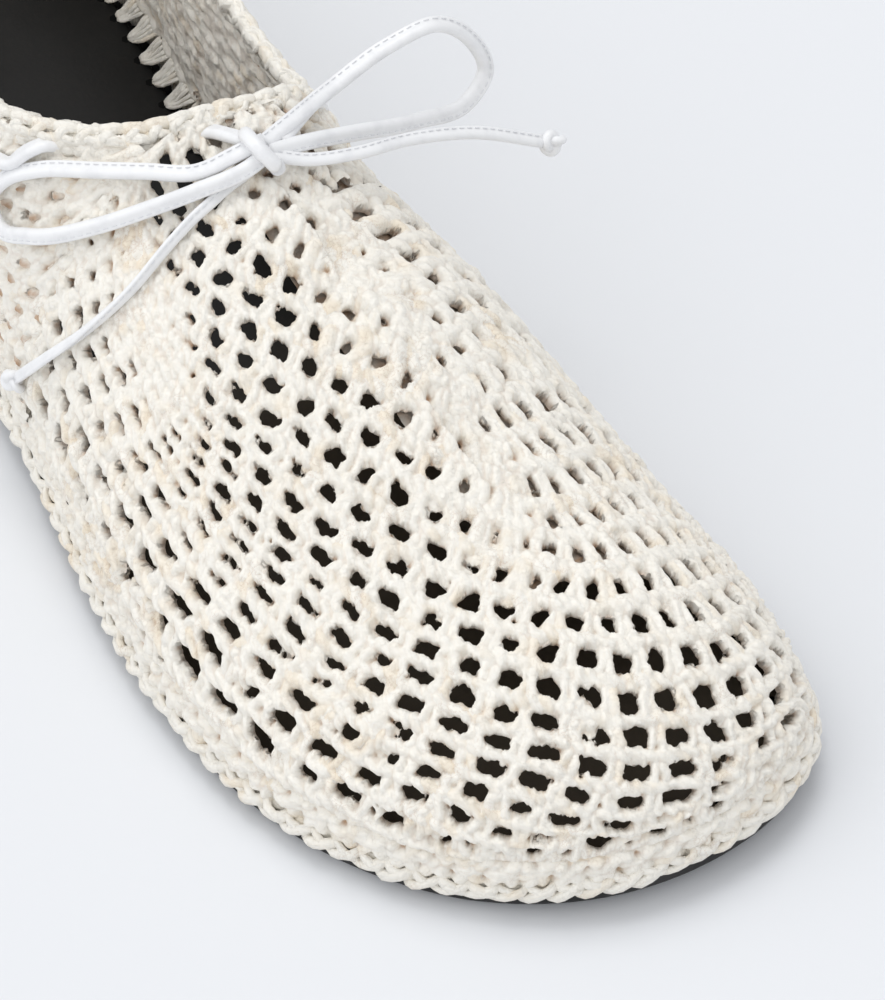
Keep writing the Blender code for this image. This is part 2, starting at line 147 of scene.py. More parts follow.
def outline(offset):
    # heel back first, then the outer side, the toe and the inner side
    sole = shape["sole"]
    outer = np.stack([sole["outerX"], sole["fromHeel"]], 1)
    inner = np.stack([sole["innerX"], sole["fromHeel"]], 1)[::-1]
    knots = np.vstack([[(0, 0)], outer, [(shape["toeTipX"], shape["soleLength"])], inner])
    curve = closedSpline(knots, edgeCount)
    along = np.roll(curve, -1, 0) - np.roll(curve, 1, 0)
    normal = np.stack([along[:, 1], -along[:, 0]], 1)
    curve = curve + offset * normal / np.linalg.norm(normal, axis=1)[:, None]
    return np.roll(curve, -curve[:, 1].argmin(), 0)


def underZ(y):
    return np.interp(y, shape["profile"]["fromHeel"], shape["profile"]["underZ"])


def topZ(y):
    return follow(y, shape["profile"]["fromHeel"], shape["profile"]["topZ"])


def spineAt(y, column):
    y = np.clip(y, shape["fanHeel"], shape["fanToe"])
    return follow(y, shape["spine"]["fromHeel"], shape["spine"][column])


def makeWall():
    # the dome of the upper as a grid: outline point by millimetres up from the sole
    curve = outline(shape["wallOffset"])
    y = np.clip(curve[:, 1], shape["fanHeel"], shape["fanToe"])
    top, power = spineAt(y, "topZ"), spineAt(y, "roundness")
    foot = np.stack([spineAt(y, "x"), y], 1)
    share = np.cos(np.linspace(0, np.pi / 2, shape["domeRings"])) ** shape["domePower"]
    plan = foot[:, None] + (curve - foot)[:, None] * share[None, :, None]
    push = np.where(curve[:, 0] < foot[:, 0], follow(curve[:, 1], *shape["lean"].values()), 0)
    plan[..., 0] -= push[:, None] * share * (1 - share ** 4)
    rise = (1 - share[None] ** power[:, None]) ** (1 / power[:, None])
    low = topZ(curve[:, 1]) + shape["gap"]
    z = low[:, None] + (top - low)[:, None] * rise
    lines = np.concatenate([plan, z[..., None]], 2)
    length = runAlong(lines)
    reach = np.arange(int(length.max()) + 2, dtype=float)
    place = np.stack([resample(line, run, reach) for line, run in zip(lines, length)])
    normal = unit(np.cross(np.roll(place, -2, 0) - np.roll(place, 2, 0), np.gradient(place, axis=1)))
    collar, cut = length[:, -1].copy(), np.zeros(edgeCount, bool)
    for k in range(edgeCount):
        last = int(length[k, -1]) - 1
        normal[k, last:] = normal[k, last - 1]
        column = "outerZ" if curve[k, 0] > foot[k, 0] else "innerZ"
        height = follow(curve[k, 1], shape["collar"]["fromHeel"], shape["collar"][column])
        cut[k] = curve[k, 1] < shape["throat"] and height < lines[k, -1, 2]
        if cut[k]:
            collar[k] = np.interp(height, lines[k, :, 2], length[k])
    # the folds run out below the collar
    for centre, width, depth, down in zip(*shape["folds"].values()):
        push = np.exp(-((np.arange(edgeCount) - centre) / width) ** 2) * depth
        fade = np.clip(1 - (collar[:, None] - reach[None]) / down, 0, 1)
        place -= normal * (push[:, None] * fade ** 1.5)[..., None]
    return {
        "curve": curve,
        "place": place,
        "normal": normal,
        "length": length[:, -1],
        "collar": collar,
        "cut": cut,
        "arc": runAlong(np.vstack([curve, curve[:1]])),  # millimetres along the outline
        "toe": int(curve[:, 1].argmax()),
    }


wall = makeWall()


def between(station):
    # the outline points on both sides of a place, and the share of the second
    station = np.mod(station, edgeCount)
    k = np.floor(station).astype(int) % edgeCount
    return k, (k + 1) % edgeCount, station - np.floor(station)


def lookUp(values, station):
    k, n, f = between(station)
    f = f.reshape(f.shape + (1,) * (values.ndim - 1))
    return values[k] * (1 - f) + values[n] * f


def onWall(station, reach):
    # place and outward normal on the wall; below its foot it runs straight down
    k, n, f = between(station)
    f = f[..., None]
    held = np.clip(reach, 0, wall["place"].shape[1] - 1.001)
    a = np.floor(held).astype(int)
    g = (held - a)[..., None]
    out = []
    for grid in (wall["place"], wall["normal"]):
        low = grid[k, a] * (1 - f) + grid[n, a] * f
        high = grid[k, a + 1] * (1 - f) + grid[n, a + 1] * f
        out.append(low * (1 - g) + high * g)
    out[0] = out[0] + np.minimum(reach, 0)[..., None] * np.array((0, 0, 1.0))
    return out[0], unit(out[1])


def flatToWall(flat):
    # the wall spread flat about its spine, with a fan at the toe
    x, y = flat[..., 0], flat[..., 1]
    curve, toe = wall["curve"], wall["toe"]
    station = np.arange(edgeCount)
    outer, inner = station[:toe + 1], station[toe:]
    middle = spineAt(y, "x")
    found = np.where(
        x > middle,
        np.interp(y, curve[outer, 1], outer),
        np.interp(y, curve[inner, 1][::-1], inner[::-1]),
    )
    away = np.abs(x - middle)
    front = station[curve[:, 1] >= shape["fanToe"]]
    fanX = spineAt(shape["fanToe"], "x")
    turn = np.arctan2(curve[front, 0] - fanX, curve[front, 1] - shape["fanToe"])
    angle = np.arctan2(x - fanX, y - shape["fanToe"])
    inFront = y > shape["fanToe"]
    found = np.where(inFront, np.interp(angle, turn[::-1], front[::-1]), found)
    away = np.where(inFront, np.hypot(x - fanX, y - shape["fanToe"]), away)
    return found, lookUp(wall["length"], found) - away


def wallToFlat(station, reach):
    curve = lookUp(wall["curve"], station)
    foot = np.stack([spineAt(curve[..., 1], "x"), np.minimum(curve[..., 1], shape["fanToe"])], -1)
    foot[..., 0] = np.where(curve[..., 1] > shape["fanToe"], spineAt(shape["fanToe"], "x"), foot[..., 0])
    return foot + unit(curve - foot) * (lookUp(wall["length"], station) - reach)[..., None]


def stationAt(arc):
    arc = np.mod(arc, wall["arc"][-1])
    return np.interp(arc, wall["arc"], np.arange(edgeCount + 1))


print("wall of the upper laid out, collar cut at", int(wall["cut"].sum()), "of", edgeCount, "places")

# camera at the photo's angle: fitted to the sole outline and the stitch rows
view = {
    "azimuth": 146.41,
    "elevation": 51.51,
    "distance": 1.3,
    "lens": 299.2,
    "sensor": 36,
    "target": (-2.58, 28.2, 15.0),
    "aimRight": 19.26,  # the frame's middle lies this far from the target, in millimetres
    "aimUp": -10.30,
}


def addCamera():
    a, e = np.radians(view["azimuth"]), np.radians(view["elevation"])
    back = np.array((np.sin(a) * np.cos(e), -np.cos(a) * np.cos(e), np.sin(e)))
    right = np.array((np.cos(a), np.sin(a), 0))
    up = np.cross(back, right)
    target = np.array(view["target"]) * mm
    eye = target + back * view["distance"]
    aim = target + (right * view["aimRight"] + up * view["aimUp"]) * mm
    data = bpy.data.cameras.new("photoCamera")
    data.lens = view["lens"]
    data.sensor_width = view["sensor"]
    data.clip_start = 0.05
    camera = bpy.data.objects.new("photoCamera", data)
    camera.location = eye
    camera.rotation_euler = Vector(aim - eye).to_track_quat("-Z", "Y").to_euler()
    bpy.context.collection.objects.link(camera)
    bpy.context.scene.camera = camera


addCamera()
print("camera set")


# node helpers
def link(tree, output, socket):
    tree.links.new(output, socket)


def addNode(tree, kind, inputs, **settings):
    # an input is linked where another node gives it
    node = tree.nodes.new("ShaderNode" + kind)
    for key, value in settings.items():
        setattr(node, key, value)
    for label, value in inputs.items():
        if isinstance(value, bpy.types.NodeSocket):
            link(tree, value, node.inputs[label])
        else:
            node.inputs[label].default_value = value
    return node.outputs


def noise(tree, vector, scale, detail=3.0, rough=0.55):
    return addNode(tree, "TexNoise", {"Vector": vector, "Scale": scale, "Detail": detail, "Roughness": rough})["Fac"]


def voronoi(tree, vector, scale, feature):
    return addNode(tree, "TexVoronoi", {"Vector": vector, "Scale": scale}, feature=feature)


def mapRange(tree, value, low, high, toLow=0.0, toHigh=1.0):
    inputs = {"Value": value, "From Min": low, "From Max": high, "To Min": toLow, "To Max": toHigh}
    return addNode(tree, "MapRange", inputs, interpolation_type="SMOOTHSTEP")["Result"]


def mixColour(tree, share, first, second):
    return addNode(tree, "Mix", {0: share, 6: first, 7: second}, data_type="RGBA")[2]


def maths(tree, kind, first, second):
    return addNode(tree, "Math", {0: first, 1: second}, operation=kind)[0]


def vectorMaths(tree, kind, first, second):
    outputs = addNode(tree, "VectorMath", {0: first, "Scale" if kind == "SCALE" else 1: second}, operation=kind)
    return outputs["Value" if kind == "DOT_PRODUCT" else "Vector"]


def newGroup(name, inputs, outputs):
    # four numbers make a colour socket, one makes a value
    group = bpy.data.node_groups.new(name, "ShaderNodeTree")
    for label, value in inputs.items():
        kind = "NodeSocketColor" if isinstance(value, tuple) else "NodeSocketFloat"
        group.interface.new_socket(label, in_out="INPUT", socket_type=kind).default_value = value
    for label in outputs:
        kind = "NodeSocketColor" if label == "Color" else "NodeSocketFloat"
        group.interface.new_socket(label, in_out="OUTPUT", socket_type=kind)
    return group, group.nodes.new("NodeGroupInput").outputs, group.nodes.new("NodeGroupOutput").inputs


def fibreGroup():
    # raffia: fibres along each strand, painted shade in the crevices, a tone for each strand
    inputs = {
        "Bleached": (0.8, 0.78, 0.7, 1),
        "Straw": (0.7, 0.6, 0.45, 1),
        "Crevice": (0.4, 0.28, 0.17, 1),
        "Fibre Scale": 1.0,
        "Crumple Scale": 800.0,
        "Patch Scale": 150.0,
    }
    group, given, out = newGroup("raffiaFibre", inputs, ("Color", "Roughness", "Height"))
    fibre, depth, tone = [addNode(group, "Attribute", {}, attribute_name=key) for key in ("fibre", "depth", "tone")]
    where = addNode(group, "TexCoord", {})["Object"]
    fine = noise(group, fibre["Vector"], given["Fibre Scale"], 4.0, 0.6)
    broad = noise(group, where, given["Patch Scale"], 2.0)
    # creased like paper: facets that each lean their own way
    wander = noise(group, where, given["Crumple Scale"], 2.0)
    bent = vectorMaths(group, "ADD", where, vectorMaths(group, "SCALE", fibre["Vector"], 0.0002))
    bent = vectorMaths(group, "ADD", bent, vectorMaths(group, "SCALE", (0.0007, -0.0005, 0.0006), wander))
    facet = voronoi(group, bent, given["Crumple Scale"], "F1")
    lean = vectorMaths(group, "SUBTRACT", facet["Color"], (0.5, 0.5, 0.5))
    tilt = vectorMaths(group, "DOT_PRODUCT", vectorMaths(group, "SUBTRACT", bent, facet["Position"]), lean)
    tilt = maths(group, "MULTIPLY", tilt, given["Crumple Scale"])
    crease = maths(group, "ABSOLUTE", maths(group, "SUBTRACT", wander, 0.5), 0.0)
    crease = mapRange(group, crease, 0.0, 0.035)
    # straw tones, fibre streaks, painted shade along crease lines in patches, then painted shade in the crevices
    straw = mapRange(group, tone["Fac"], 0.45, 1.0)
    straw = maths(group, "MULTIPLY", straw, mapRange(group, broad, 0.35, 0.7))
    colour = mixColour(group, straw, given["Bleached"], given["Straw"])
    streak = maths(group, "MULTIPLY", mapRange(group, fine, 0.36, 0.68), 0.22)
    colour = mixColour(group, streak, colour, given["Straw"])
    # painted shade: the crease lines are darkened towards the crevice shade colour, in patches
    worn = maths(group, "SUBTRACT", 1.0, crease)
    worn = maths(group, "MULTIPLY", worn, mapRange(group, broad, 0.5, 0.7, 0.0, 0.3))
    colour = mixColour(group, worn, colour, given["Crevice"])
    # painted shade: the deeper a point lies (its depth), the more of the crevice shade colour
    dark = maths(group, "POWER", mapRange(group, depth["Fac"], 0.15, 1.0), 1.4)
    link(group, mixColour(group, dark, colour, given["Crevice"]), out["Color"])
    link(group, mapRange(group, fine, 0.3, 0.7, 0.62, 0.86), out["Roughness"])
    height = maths(group, "ADD", maths(group, "MULTIPLY", fine, 0.35), maths(group, "MULTIPLY", crease, 0.12))
    link(group, maths(group, "ADD", height, maths(group, "MULTIPLY", tilt, 1.7)), out["Height"])
    return group


def grainGroup():
    # leather and rubber: pebbled grain with finer pores, and a worn mask
    group, given, out = newGroup("fineGrain", {"Grain Scale": 900.0, "Wear Scale": 60.0}, ("Height", "Wear"))
    where = addNode(group, "TexCoord", {})["Object"]
    cells = voronoi(group, where, given["Grain Scale"], "SMOOTH_F1")
    pores = maths(group, "MULTIPLY", noise(group, where, given["Grain Scale"]), 0.6)
    link(group, maths(group, "ADD", cells["Distance"], pores), out["Height"])
    link(group, mapRange(group, noise(group, where, given["Wear Scale"], 4.0), 0.42, 0.7), out["Wear"])
    return group


groups = {"fibre": fibreGroup(), "grain": grainGroup()}


def newMaterial(name):
    made = bpy.data.materials.new(name)
    made.use_nodes = True
    return made, made.node_tree, made.node_tree.nodes["Principled BSDF"].inputs


def placeGroup(tree, key, values):
    return addNode(tree, "Group", values, node_tree=groups[key])


def bump(tree, shader, height, strength, distance):
    bumped = addNode(tree, "Bump", {"Strength": strength, "Distance": distance * mm, "Height": height})
    link(tree, bumped["Normal"], shader["Normal"])


raffiaLook = {
    "Bleached": (0.92, 0.895, 0.832, 1),
    "Straw": (0.87, 0.78, 0.64, 1),
    "Crevice": (0.50, 0.32, 0.20, 1),
    "Fibre Scale": 2.2,
    "Crumple Scale": 1000.0,
    "Patch Scale": 170.0,
    "gloss": 0.3,
    "bump": 0.8,
    "bumpDepth": 0.35,
}


def raffiaMaterial():
    made, tree, shader = newMaterial("raffia")
    given = placeGroup(tree, "fibre", {k: v for k, v in raffiaLook.items() if k[0].isupper()})
    link(tree, given["Color"], shader["Base Color"])
    link(tree, given["Roughness"], shader["Roughness"])
    shader["Specular IOR Level"].default_value = raffiaLook["gloss"]
    bump(tree, shader, given["Height"], raffiaLook["bump"], raffiaLook["bumpDepth"])
    return made


leatherLook = {
    "lace": {
        "clean": (0.87, 0.875, 0.885, 1), "worn": (0.80, 0.805, 0.82, 1), "grain": 2600.0, "wear": 300.0,
        "roughness": 0.42, "gloss": 0.5, "bump": 0.12, "depth": 0.05,
    },
    "insole": {
        "clean": (0.0105, 0.0102, 0.01, 1), "worn": (0.016, 0.0156, 0.0152, 1), "grain": 1500.0, "wear": 45.0,
        "roughness": 0.58, "gloss": 0.2, "bump": 0.3, "depth": 0.08,
        "front": (0.09, 0.073, 0.053, 1), "frontFrom": (118, 146),  # paler under the vamp
    },
    "sole": {
        "clean": (0.012, 0.012, 0.0125, 1), "worn": (0.035, 0.034, 0.034, 1), "grain": 700.0, "wear": 80.0,
        "roughness": 0.66, "gloss": 0.3, "bump": 0.35, "depth": 0.12,
    },
    "thread": {
        "clean": (0.80, 0.81, 0.83, 1), "worn": (0.72, 0.73, 0.76, 1), "grain": 4000.0, "wear": 500.0,
        "roughness": 0.7, "gloss": 0.3, "bump": 0.2, "depth": 0.03,
    },
    # painted shade: near-black, for the inside of the holes at the whip stitches
    "holeShade": {
        "clean": (0.004, 0.004, 0.004, 1), "worn": (0.007, 0.007, 0.007, 1), "grain": 1500.0, "wear": 200.0,
        "roughness": 0.9, "gloss": 0.1, "bump": 0.2, "depth": 0.05,
    },
}


def grainMaterial(key):
    look = leatherLook[key]
    made, tree, shader = newMaterial(key)
    given = placeGroup(tree, "grain", {"Grain Scale": look["grain"], "Wear Scale": look["wear"]})
    colour = mixColour(tree, given["Wear"], look["clean"], look["worn"])
    if "front" in look:
        where = addNode(tree, "SeparateXYZ", {0: addNode(tree, "TexCoord", {})["Object"]})
        low, high = [(y - shape["frameY"]) * mm for y in look["frontFrom"]]
        colour = mixColour(tree, mapRange(tree, where["Y"], low, high), colour, look["front"])
    link(tree, colour, shader["Base Color"])
    low, high = look["roughness"] - 0.06, look["roughness"] + 0.08
    link(tree, mapRange(tree, given["Wear"], 0, 1, low, high), shader["Roughness"])
    shader["Specular IOR Level"].default_value = look["gloss"]
    bump(tree, shader, given["Height"], look["bump"], look["depth"])
    return made


looks = {key: grainMaterial(key) for key in leatherLook}
looks["raffia"] = raffiaMaterial()
print("materials made:", ", ".join(looks))


# mesh helpers
def toFrame(points):
    return (np.asarray(points) - (shape["frameX"], shape["frameY"], 0)) * mm


def addMesh(name, points, faces, look, attributes=None):
    # faces: a list of arrays, each with one number of corners
    mesh = bpy.data.meshes.new(name)
    points = toFrame(points)
    mesh.vertices.add(len(points))
    mesh.vertices.foreach_set("co", points.astype(np.float32).ravel())
    corners = np.concatenate([np.asarray(f, np.int32).ravel() for f in faces])
    counts = np.concatenate([np.full(len(f), np.asarray(f).shape[1], np.int32) for f in faces])
    mesh.loops.add(len(corners))
    mesh.loops.foreach_set("vertex_index", corners)
    mesh.polygons.add(len(counts))
    mesh.polygons.foreach_set("loop_start", np.concatenate([[0], np.cumsum(counts)[:-1]]).astype(np.int32))
    mesh.polygons.foreach_set("use_smooth", np.ones(len(counts), bool))
    for label, values in (attributes or {}).items():
        kind, field = ("FLOAT_VECTOR", "vector") if values.ndim == 2 else ("FLOAT", "value")
        layer = mesh.attributes.new(label, kind, "POINT")
        layer.data.foreach_set(field, values.astype(np.float32).ravel())
    mesh.update(calc_edges=True)
    mesh.validate()
    mesh.materials.append(looks[look])
    item = bpy.data.objects.new(name, mesh)
    bpy.context.collection.objects.link(item)
    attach(item, "root")
    return item


def addRaffia(name, points, faces, layers):
    item = addMesh(name, points, faces, "raffia", layers)
    item.data.calc_loop_triangles()
    print(name, "has", len(item.data.loop_triangles), "triangles")
    return item


def gridQuads(index):
    return np.stack([index[:-1, :-1], index[1:, :-1], index[1:, 1:], index[:-1, 1:]], -1)


def tubeFaces(count, rings, sides):
    # walls and ends of closed tubes that all have the same number of rings
    start = (np.arange(count) * rings * sides)[:, None, None]
    base = start + (np.arange(rings - 1) * sides)[None, :, None]
    k = np.arange(sides)[None, None, :]
    n = (k + 1) % sides
    quads = np.stack([base + k, base + sides + k, base + sides + n, base + n], -1).reshape(-1, 4)
    first = start[:, 0] + np.arange(sides)
    last = start[:, 0] + (rings - 1) * sides + np.arange(sides)[::-1]
    return quads, np.concatenate([first, last])


def curveBasis(knots, count):
    # weights that run a smooth curve through a few control points
    where = np.linspace(0, len(knots) - 1, count)
    steps = np.arange(len(knots), dtype=float)
    return np.stack([follow(where, steps, column) for column in np.eye(len(knots))], 1)


strandLook = {
    "rings": 8,
    "sides": 7,
    "tip": 0.14,  # share of the length that narrows
    "tipWidth": 0.55,
    "fibreAlong": 0.16,
    "fibreAcross": 1.5,
    "shadeFrom": 1.2,  # millimetres under the wall's face
    "shadeSpan": 2.2,
}


class StrandPile:
    # strands as closed soft tubes, gathered into one mesh
    def __init__(self, name):
        self.name, self.parts, self.layers, self.count = name, [], [], 0

    def add(self, paths, normals, wide, thick, lifts):
        look, (count, rings), sides = strandLook, paths.shape[:2], strandLook["sides"]
        ahead = unit(np.gradient(paths, axis=1))
        side = unit(np.cross(ahead, normals))
        up = np.cross(side, ahead)
        u = np.linspace(0, 1, rings)[None, :, None]
        angle = 2 * np.pi * np.arange(sides)[None, None, :] / sides
        phase = rng.uniform(0, 2 * np.pi, (count, 4))[:, :, None, None]
        narrow = np.clip(np.minimum(u, 1 - u) / look["tip"], 0, 1) ** 0.6
        taper = look["tipWidth"] + (1 - look["tipWidth"]) * narrow
        ripple = 1 + 0.09 * np.cos(2 * angle + phase[:, 0] + 3 * u) + 0.06 * np.cos(3 * angle + phase[:, 1] - 4 * u)
        ripple = ripple + 0.08 * np.sin(7 * u + phase[:, 2]) + 0.05 * np.sin(15 * u + angle + phase[:, 3])
        across = np.cos(angle) * wide[:, None, None] * taper * ripple
        rise = np.sin(angle) * thick[:, None, None] * taper * ripple
        points = paths[:, :, None] + side[:, :, None] * across[..., None] + up[:, :, None] * rise[..., None]
        shift = rng.uniform(0, 90, count)[:, None, None]
        full = np.ones_like(ripple)
        run = runAlong(paths)[..., None] * look["fibreAlong"] * full + shift
        fibre = np.stack([run, across * look["fibreAcross"], rise * look["fibreAcross"]], -1)
        tone = rng.uniform(0, 1, count)[:, None, None] * full
        # painted shade: strands darken the deeper they lie under the wall's face, fading out on their undersides
        depth = np.clip((-lifts[..., None] - rise - look["shadeFrom"]) / look["shadeSpan"], 0, 1)
        depth = depth * np.clip(1 + 1.3 * np.sin(angle), 0, 1)
        self.layers.append((fibre.reshape(-1, 3), tone.ravel(), depth.ravel()))
        quads, caps = tubeFaces(count, rings, sides)
        self.parts.append((points.reshape(-1, 3), quads + self.count, caps + self.count))
        self.count += points[..., 0].size

    def finish(self):
        points, quads, caps = [np.concatenate(part) for part in zip(*self.parts)]
        layers = [np.concatenate(part) for part in zip(*self.layers)]
        return addRaffia(self.name, points, [quads, caps], dict(zip(("fibre", "tone", "depth"), layers)))


# how unevenly strands are pulled: shake up and down, spread and limit of their size
tubePull = {"rings": strandLook["rings"], "shake": 0.16, "spread": 0.09, "limit": 0.25}
feltPull = {"rings": 20, "shake": 0.12, "spread": 0.08, "limit": 0.2}


def drawStrands(cells, motif, piece, pull, grow=1.0, lean=0.0):
    # one strand per motif row for each cell; a motif is control points of row, stitch and lift
    for strand in motif:
        control = np.array(strand["path"], float)
        shake = rng.normal(0, 1, (len(cells), len(control), 3)) * (piece["loose"], piece["loose"], pull["shake"])
        path = np.einsum("rk,nkc->nrc", curveBasis(control, pull["rings"]), control[None] + shake)
        path[..., 1] += np.reshape(lean, (-1, 1)) * path[..., 0]
        row, stitch = cells[:, None, 0] + path[..., 0], cells[:, None, 1] + path[..., 1]
        size = rng.normal(1, pull["spread"], len(cells)).clip(1 - pull["limit"], 1 + pull["limit"]) * grow
        wide, thick = [piece[key] * size * strand.get(key, 1) for key in ("wide", "thick")]
        yield row, stitch, path[..., 2], wide, thick


def layFelt(sheet, cells, motif, toFlat, piece, grow=1.0, lean=0.0):
    for row, stitch, lift, wide, thick in drawStrands(cells, motif, piece, feltPull, grow, lean):
        sheet.add(toFlat(row, stitch), lift, wide, thick)


def blur(image, times):
    for _ in range(times):
        image = (np.roll(image, 1, 0) + 2 * image + np.roll(image, -1, 0)) / 4
        image = (np.roll(image, 1, 1) + 2 * image + np.roll(image, -1, 1)) / 4
    return image


def cloud(size, times):
    # soft random field between about -1 and 1
    field = blur(rng.normal(0, 1, size), times)
    return field / (field.std() * 2)


feltLook = {
    "soften": 1,
    "crumple": 0.06,
    "crease": 0.10,
    "groove": 0.27,
    "grooveShade": 0.45,
    "round": 0.18,
    "roundSpan": 0.55,
    "ragged": 0.17,
    "rounding": 4,  # rounds the corners of the holes
    "open": 0.22,
    "grain": 1.0,
    "rimShade": 0.2,
    "rimSpan": 0.4,
    "wallShade": 0.6,
    "rim": -1.25,  # millimetres under the wall's face at the edge of a hole
    "wall": 0.8,
    "slant": 0.22,
    "hollowShade": 0.9,
    "bare": -1.6,  # height where no strand runs
    "snap": 0.6,  # a rim point moves this far at most onto the hole's edge
}


class Felt:
    # strands pressed into one puffy sheet: heights over a grid, cut where no strand runs
    heightStep, heightFoot, pointBits, batch = 1 / 4096, 8, 32, 12000

    def __init__(self, low, high, step, around=False):
        self.around = around
        self.low = np.array(low, float)
        self.size = np.round((np.array(high) - self.low) / step).astype(int)
        self.step = (np.array(high) - self.low) / self.size
        self.top = np.full(self.size.prod(), -1, np.int64)  # height and strand point, packed together
        self.cover = np.full(self.size.prod(), -1.0)
        self.points, self.labels, self.strands, self.count = [], [], 0, 0

    def add(self, paths, lifts, wide, thick):
        strands, rings = paths.shape[:2]
        spots, lift = paths.reshape(-1, 2), lifts.ravel()
        wide, thick = np.repeat(wide, rings), np.repeat(thick, rings)
        run = runAlong(paths)
        ahead = unit(np.gradient(paths, axis=1))
        shade = np.broadcast_to(rng.uniform(0, 1, (strands, 1)), run.shape)
        self.points.append(np.concatenate([paths, ahead, run[..., None], shade[..., None]], 2).reshape(-1, 6))
        self.labels.append(np.repeat(np.arange(strands) + self.strands, rings))
        self.strands += strands
        span = int(np.ceil((wide.max() + 0.75) / self.step.min()))
        dx, dy = [d.ravel() for d in np.meshgrid(*[np.arange(-span, span + 1)] * 2, indexing="ij")]
        middle = np.round((spots - self.low) / self.step).astype(int)
        for start in range(0, len(spots), self.batch):
            part = slice(start, start + self.batch)
            x, y = middle[part, :1] + dx, middle[part, 1:] + dy
            offX = self.low[0] + x * self.step[0] - spots[part, :1]
            offY = self.low[1] + y * self.step[1] - spots[part, 1:]
            away, broad = np.hypot(offX, offY), wide[part, None]
            high = lift[part, None] + thick[part, None] * np.sqrt(np.clip(1 - (away / broad) ** 3, 0, 1))
            packed = ((high + self.heightFoot) / self.heightStep).astype(np.int64) << self.pointBits
            packed = packed | (self.count + np.arange(start, start + len(x)))[:, None]
            if self.around:
                x = np.mod(x, self.size[0])
            fits = (x >= 0) & (x < self.size[0]) & (y >= 0) & (y < self.size[1])
            where = x * self.size[1] + y
            np.maximum.at(self.cover, where[fits], (broad - away)[fits])
            fits &= away < broad
            np.maximum.at(self.top, where[fits], packed[fits])
        self.count += len(spots)

    def finish(self, toPlace, allowed, parts):
        # parts: names with a test of the flat place
        look, size = feltLook, tuple(self.size)
        top, cover = self.top.reshape(size), self.cover.reshape(size)
        points, labels = np.vstack(self.points), np.concatenate(self.labels)
        grid = np.stack(np.meshgrid(*[np.arange(n) for n in size], indexing="ij"), -1) * self.step + self.low
        known = top >= 0
        nearest = np.where(known, top & (1 << self.pointBits) - 1, 0)
        height = np.where(known, (top >> self.pointBits) * self.heightStep - self.heightFoot, 0)
        share = blur(known.astype(float), look["soften"])
        height = np.where(share > 0.02, blur(height, look["soften"]) / np.maximum(share, 0.02), look["bare"])
        ridge = np.abs(cloud(size, 5))
        height = height + look["crumple"] * cloud(size, 2) + look["crease"] * (ridge - 0.4)
        # grooves where one strand gives way to the next
        label = np.where(known, labels[nearest], -1)
        groove = (label != np.roll(label, 1, 0)) | (label != np.roll(label, 1, 1))
        groove = np.clip(blur(groove.astype(float), 1) * 1.8 * (0.7 + 0.5 * cloud(size, 8)), 0, 1)
        height = height - look["groove"] * groove
        ragged = look["ragged"] * (cloud(size, 1) + cloud(size, 4))
        cover = blur(np.clip(cover, -0.8, 0.8), look["rounding"]) + ragged - look["open"]
        slope = np.stack(np.gradient(cover, *self.step), -1)
        steep = np.maximum((slope ** 2).sum(-1), 0.05)
        height = height - look["round"] * np.clip(1 - cover / look["roundSpan"], 0, 1) ** 2
        inside = cover > 0
        snapped = grid - slope * np.clip(cover / steep, -look["snap"], 0)[..., None]
        height = np.where(inside, height, look["rim"])
        index = np.arange(inside.size).reshape(size)
        corners = gridQuads(np.concatenate([index, index[:1]]) if self.around else index)
        kept = inside.ravel()[corners].any(-1)
        kept &= allowed(grid).ravel()[corners].all(-1) & (cover.ravel()[corners] > -0.75).all(-1)
        quads = corners[kept]
        # walls of the holes
        beside = np.pad(kept, 1)
        skirts = []
        for shift, a, b in (((0, -1), 0, 1), ((1, 0), 1, 2), ((0, 1), 2, 3), ((-1, 0), 3, 0)):
            other = np.roll(beside, (-shift[0], -shift[1]), (0, 1))[1:-1, 1:-1]
            skirts.append(corners[kept & ~other][:, (0, a, b)])
        skirts = np.concatenate(skirts)
        skirts = skirts[(~inside.ravel()[skirts[:, 1:]]).all(1)]
        # painted shade: darker in the valleys, along the grooves between strands and towards the edges of the holes
        hollowShade = np.clip((blur(height, 14) - height) * look["hollowShade"], 0, 1)
        hollowShade = np.maximum(hollowShade, look["grooveShade"] * groove)
        hollowShade = np.maximum(hollowShade, look["rimShade"] * np.clip(1 - cover / look["rimSpan"], 0, 1)).ravel()
        height, nearest = height.ravel(), nearest.ravel()
        snapped, slope = snapped.reshape(-1, 2), slope.reshape(-1, 2)
        made = []
        for name, chosen in parts.items():
            mine, hems = quads[chosen(snapped[quads[:, 0]])], skirts[chosen(snapped[skirts[:, 0]])][:, 1:]
            used, lower = np.unique(mine), np.unique(hems)
            flat = np.vstack([snapped[used], snapped[lower] + look["slant"] * unit(slope[lower])])
            spots, normal = toPlace(flat)
            lift = np.concatenate([height[used], np.full(len(lower), look["rim"] - look["wall"])])
            line = points[nearest[np.concatenate([used, lower])]]
            off, ahead, run, shade = flat - line[:, :2], line[:, 2:4], line[:, 4], line[:, 5]
            if self.around:  # strands that run on past the back seam
                turn = self.step[0] * self.size[0]
                off[:, 0] = np.mod(off[:, 0] + turn / 2, turn) - turn / 2
            along, across = (off * ahead).sum(1), off[:, 0] * ahead[:, 1] - off[:, 1] * ahead[:, 0]
            layers = {
                "fibre": np.column_stack([(run + along) * 0.2 + shade, across * look["grain"], shade]),
                "tone": shade,
                # painted shade on the walls of the holes, a fixed amount
                "depth": np.concatenate([hollowShade[used], np.full(len(lower), look["wallShade"])]),
            }
            edge = np.searchsorted(used, hems)
            hem = len(used) + np.searchsorted(lower, hems)
            faces = np.vstack([np.searchsorted(used, mine), np.column_stack([edge[:, 1], edge[:, 0], hem])])
            made.append(addRaffia(name, spots + normal * lift[:, None], [faces], layers))
        return made


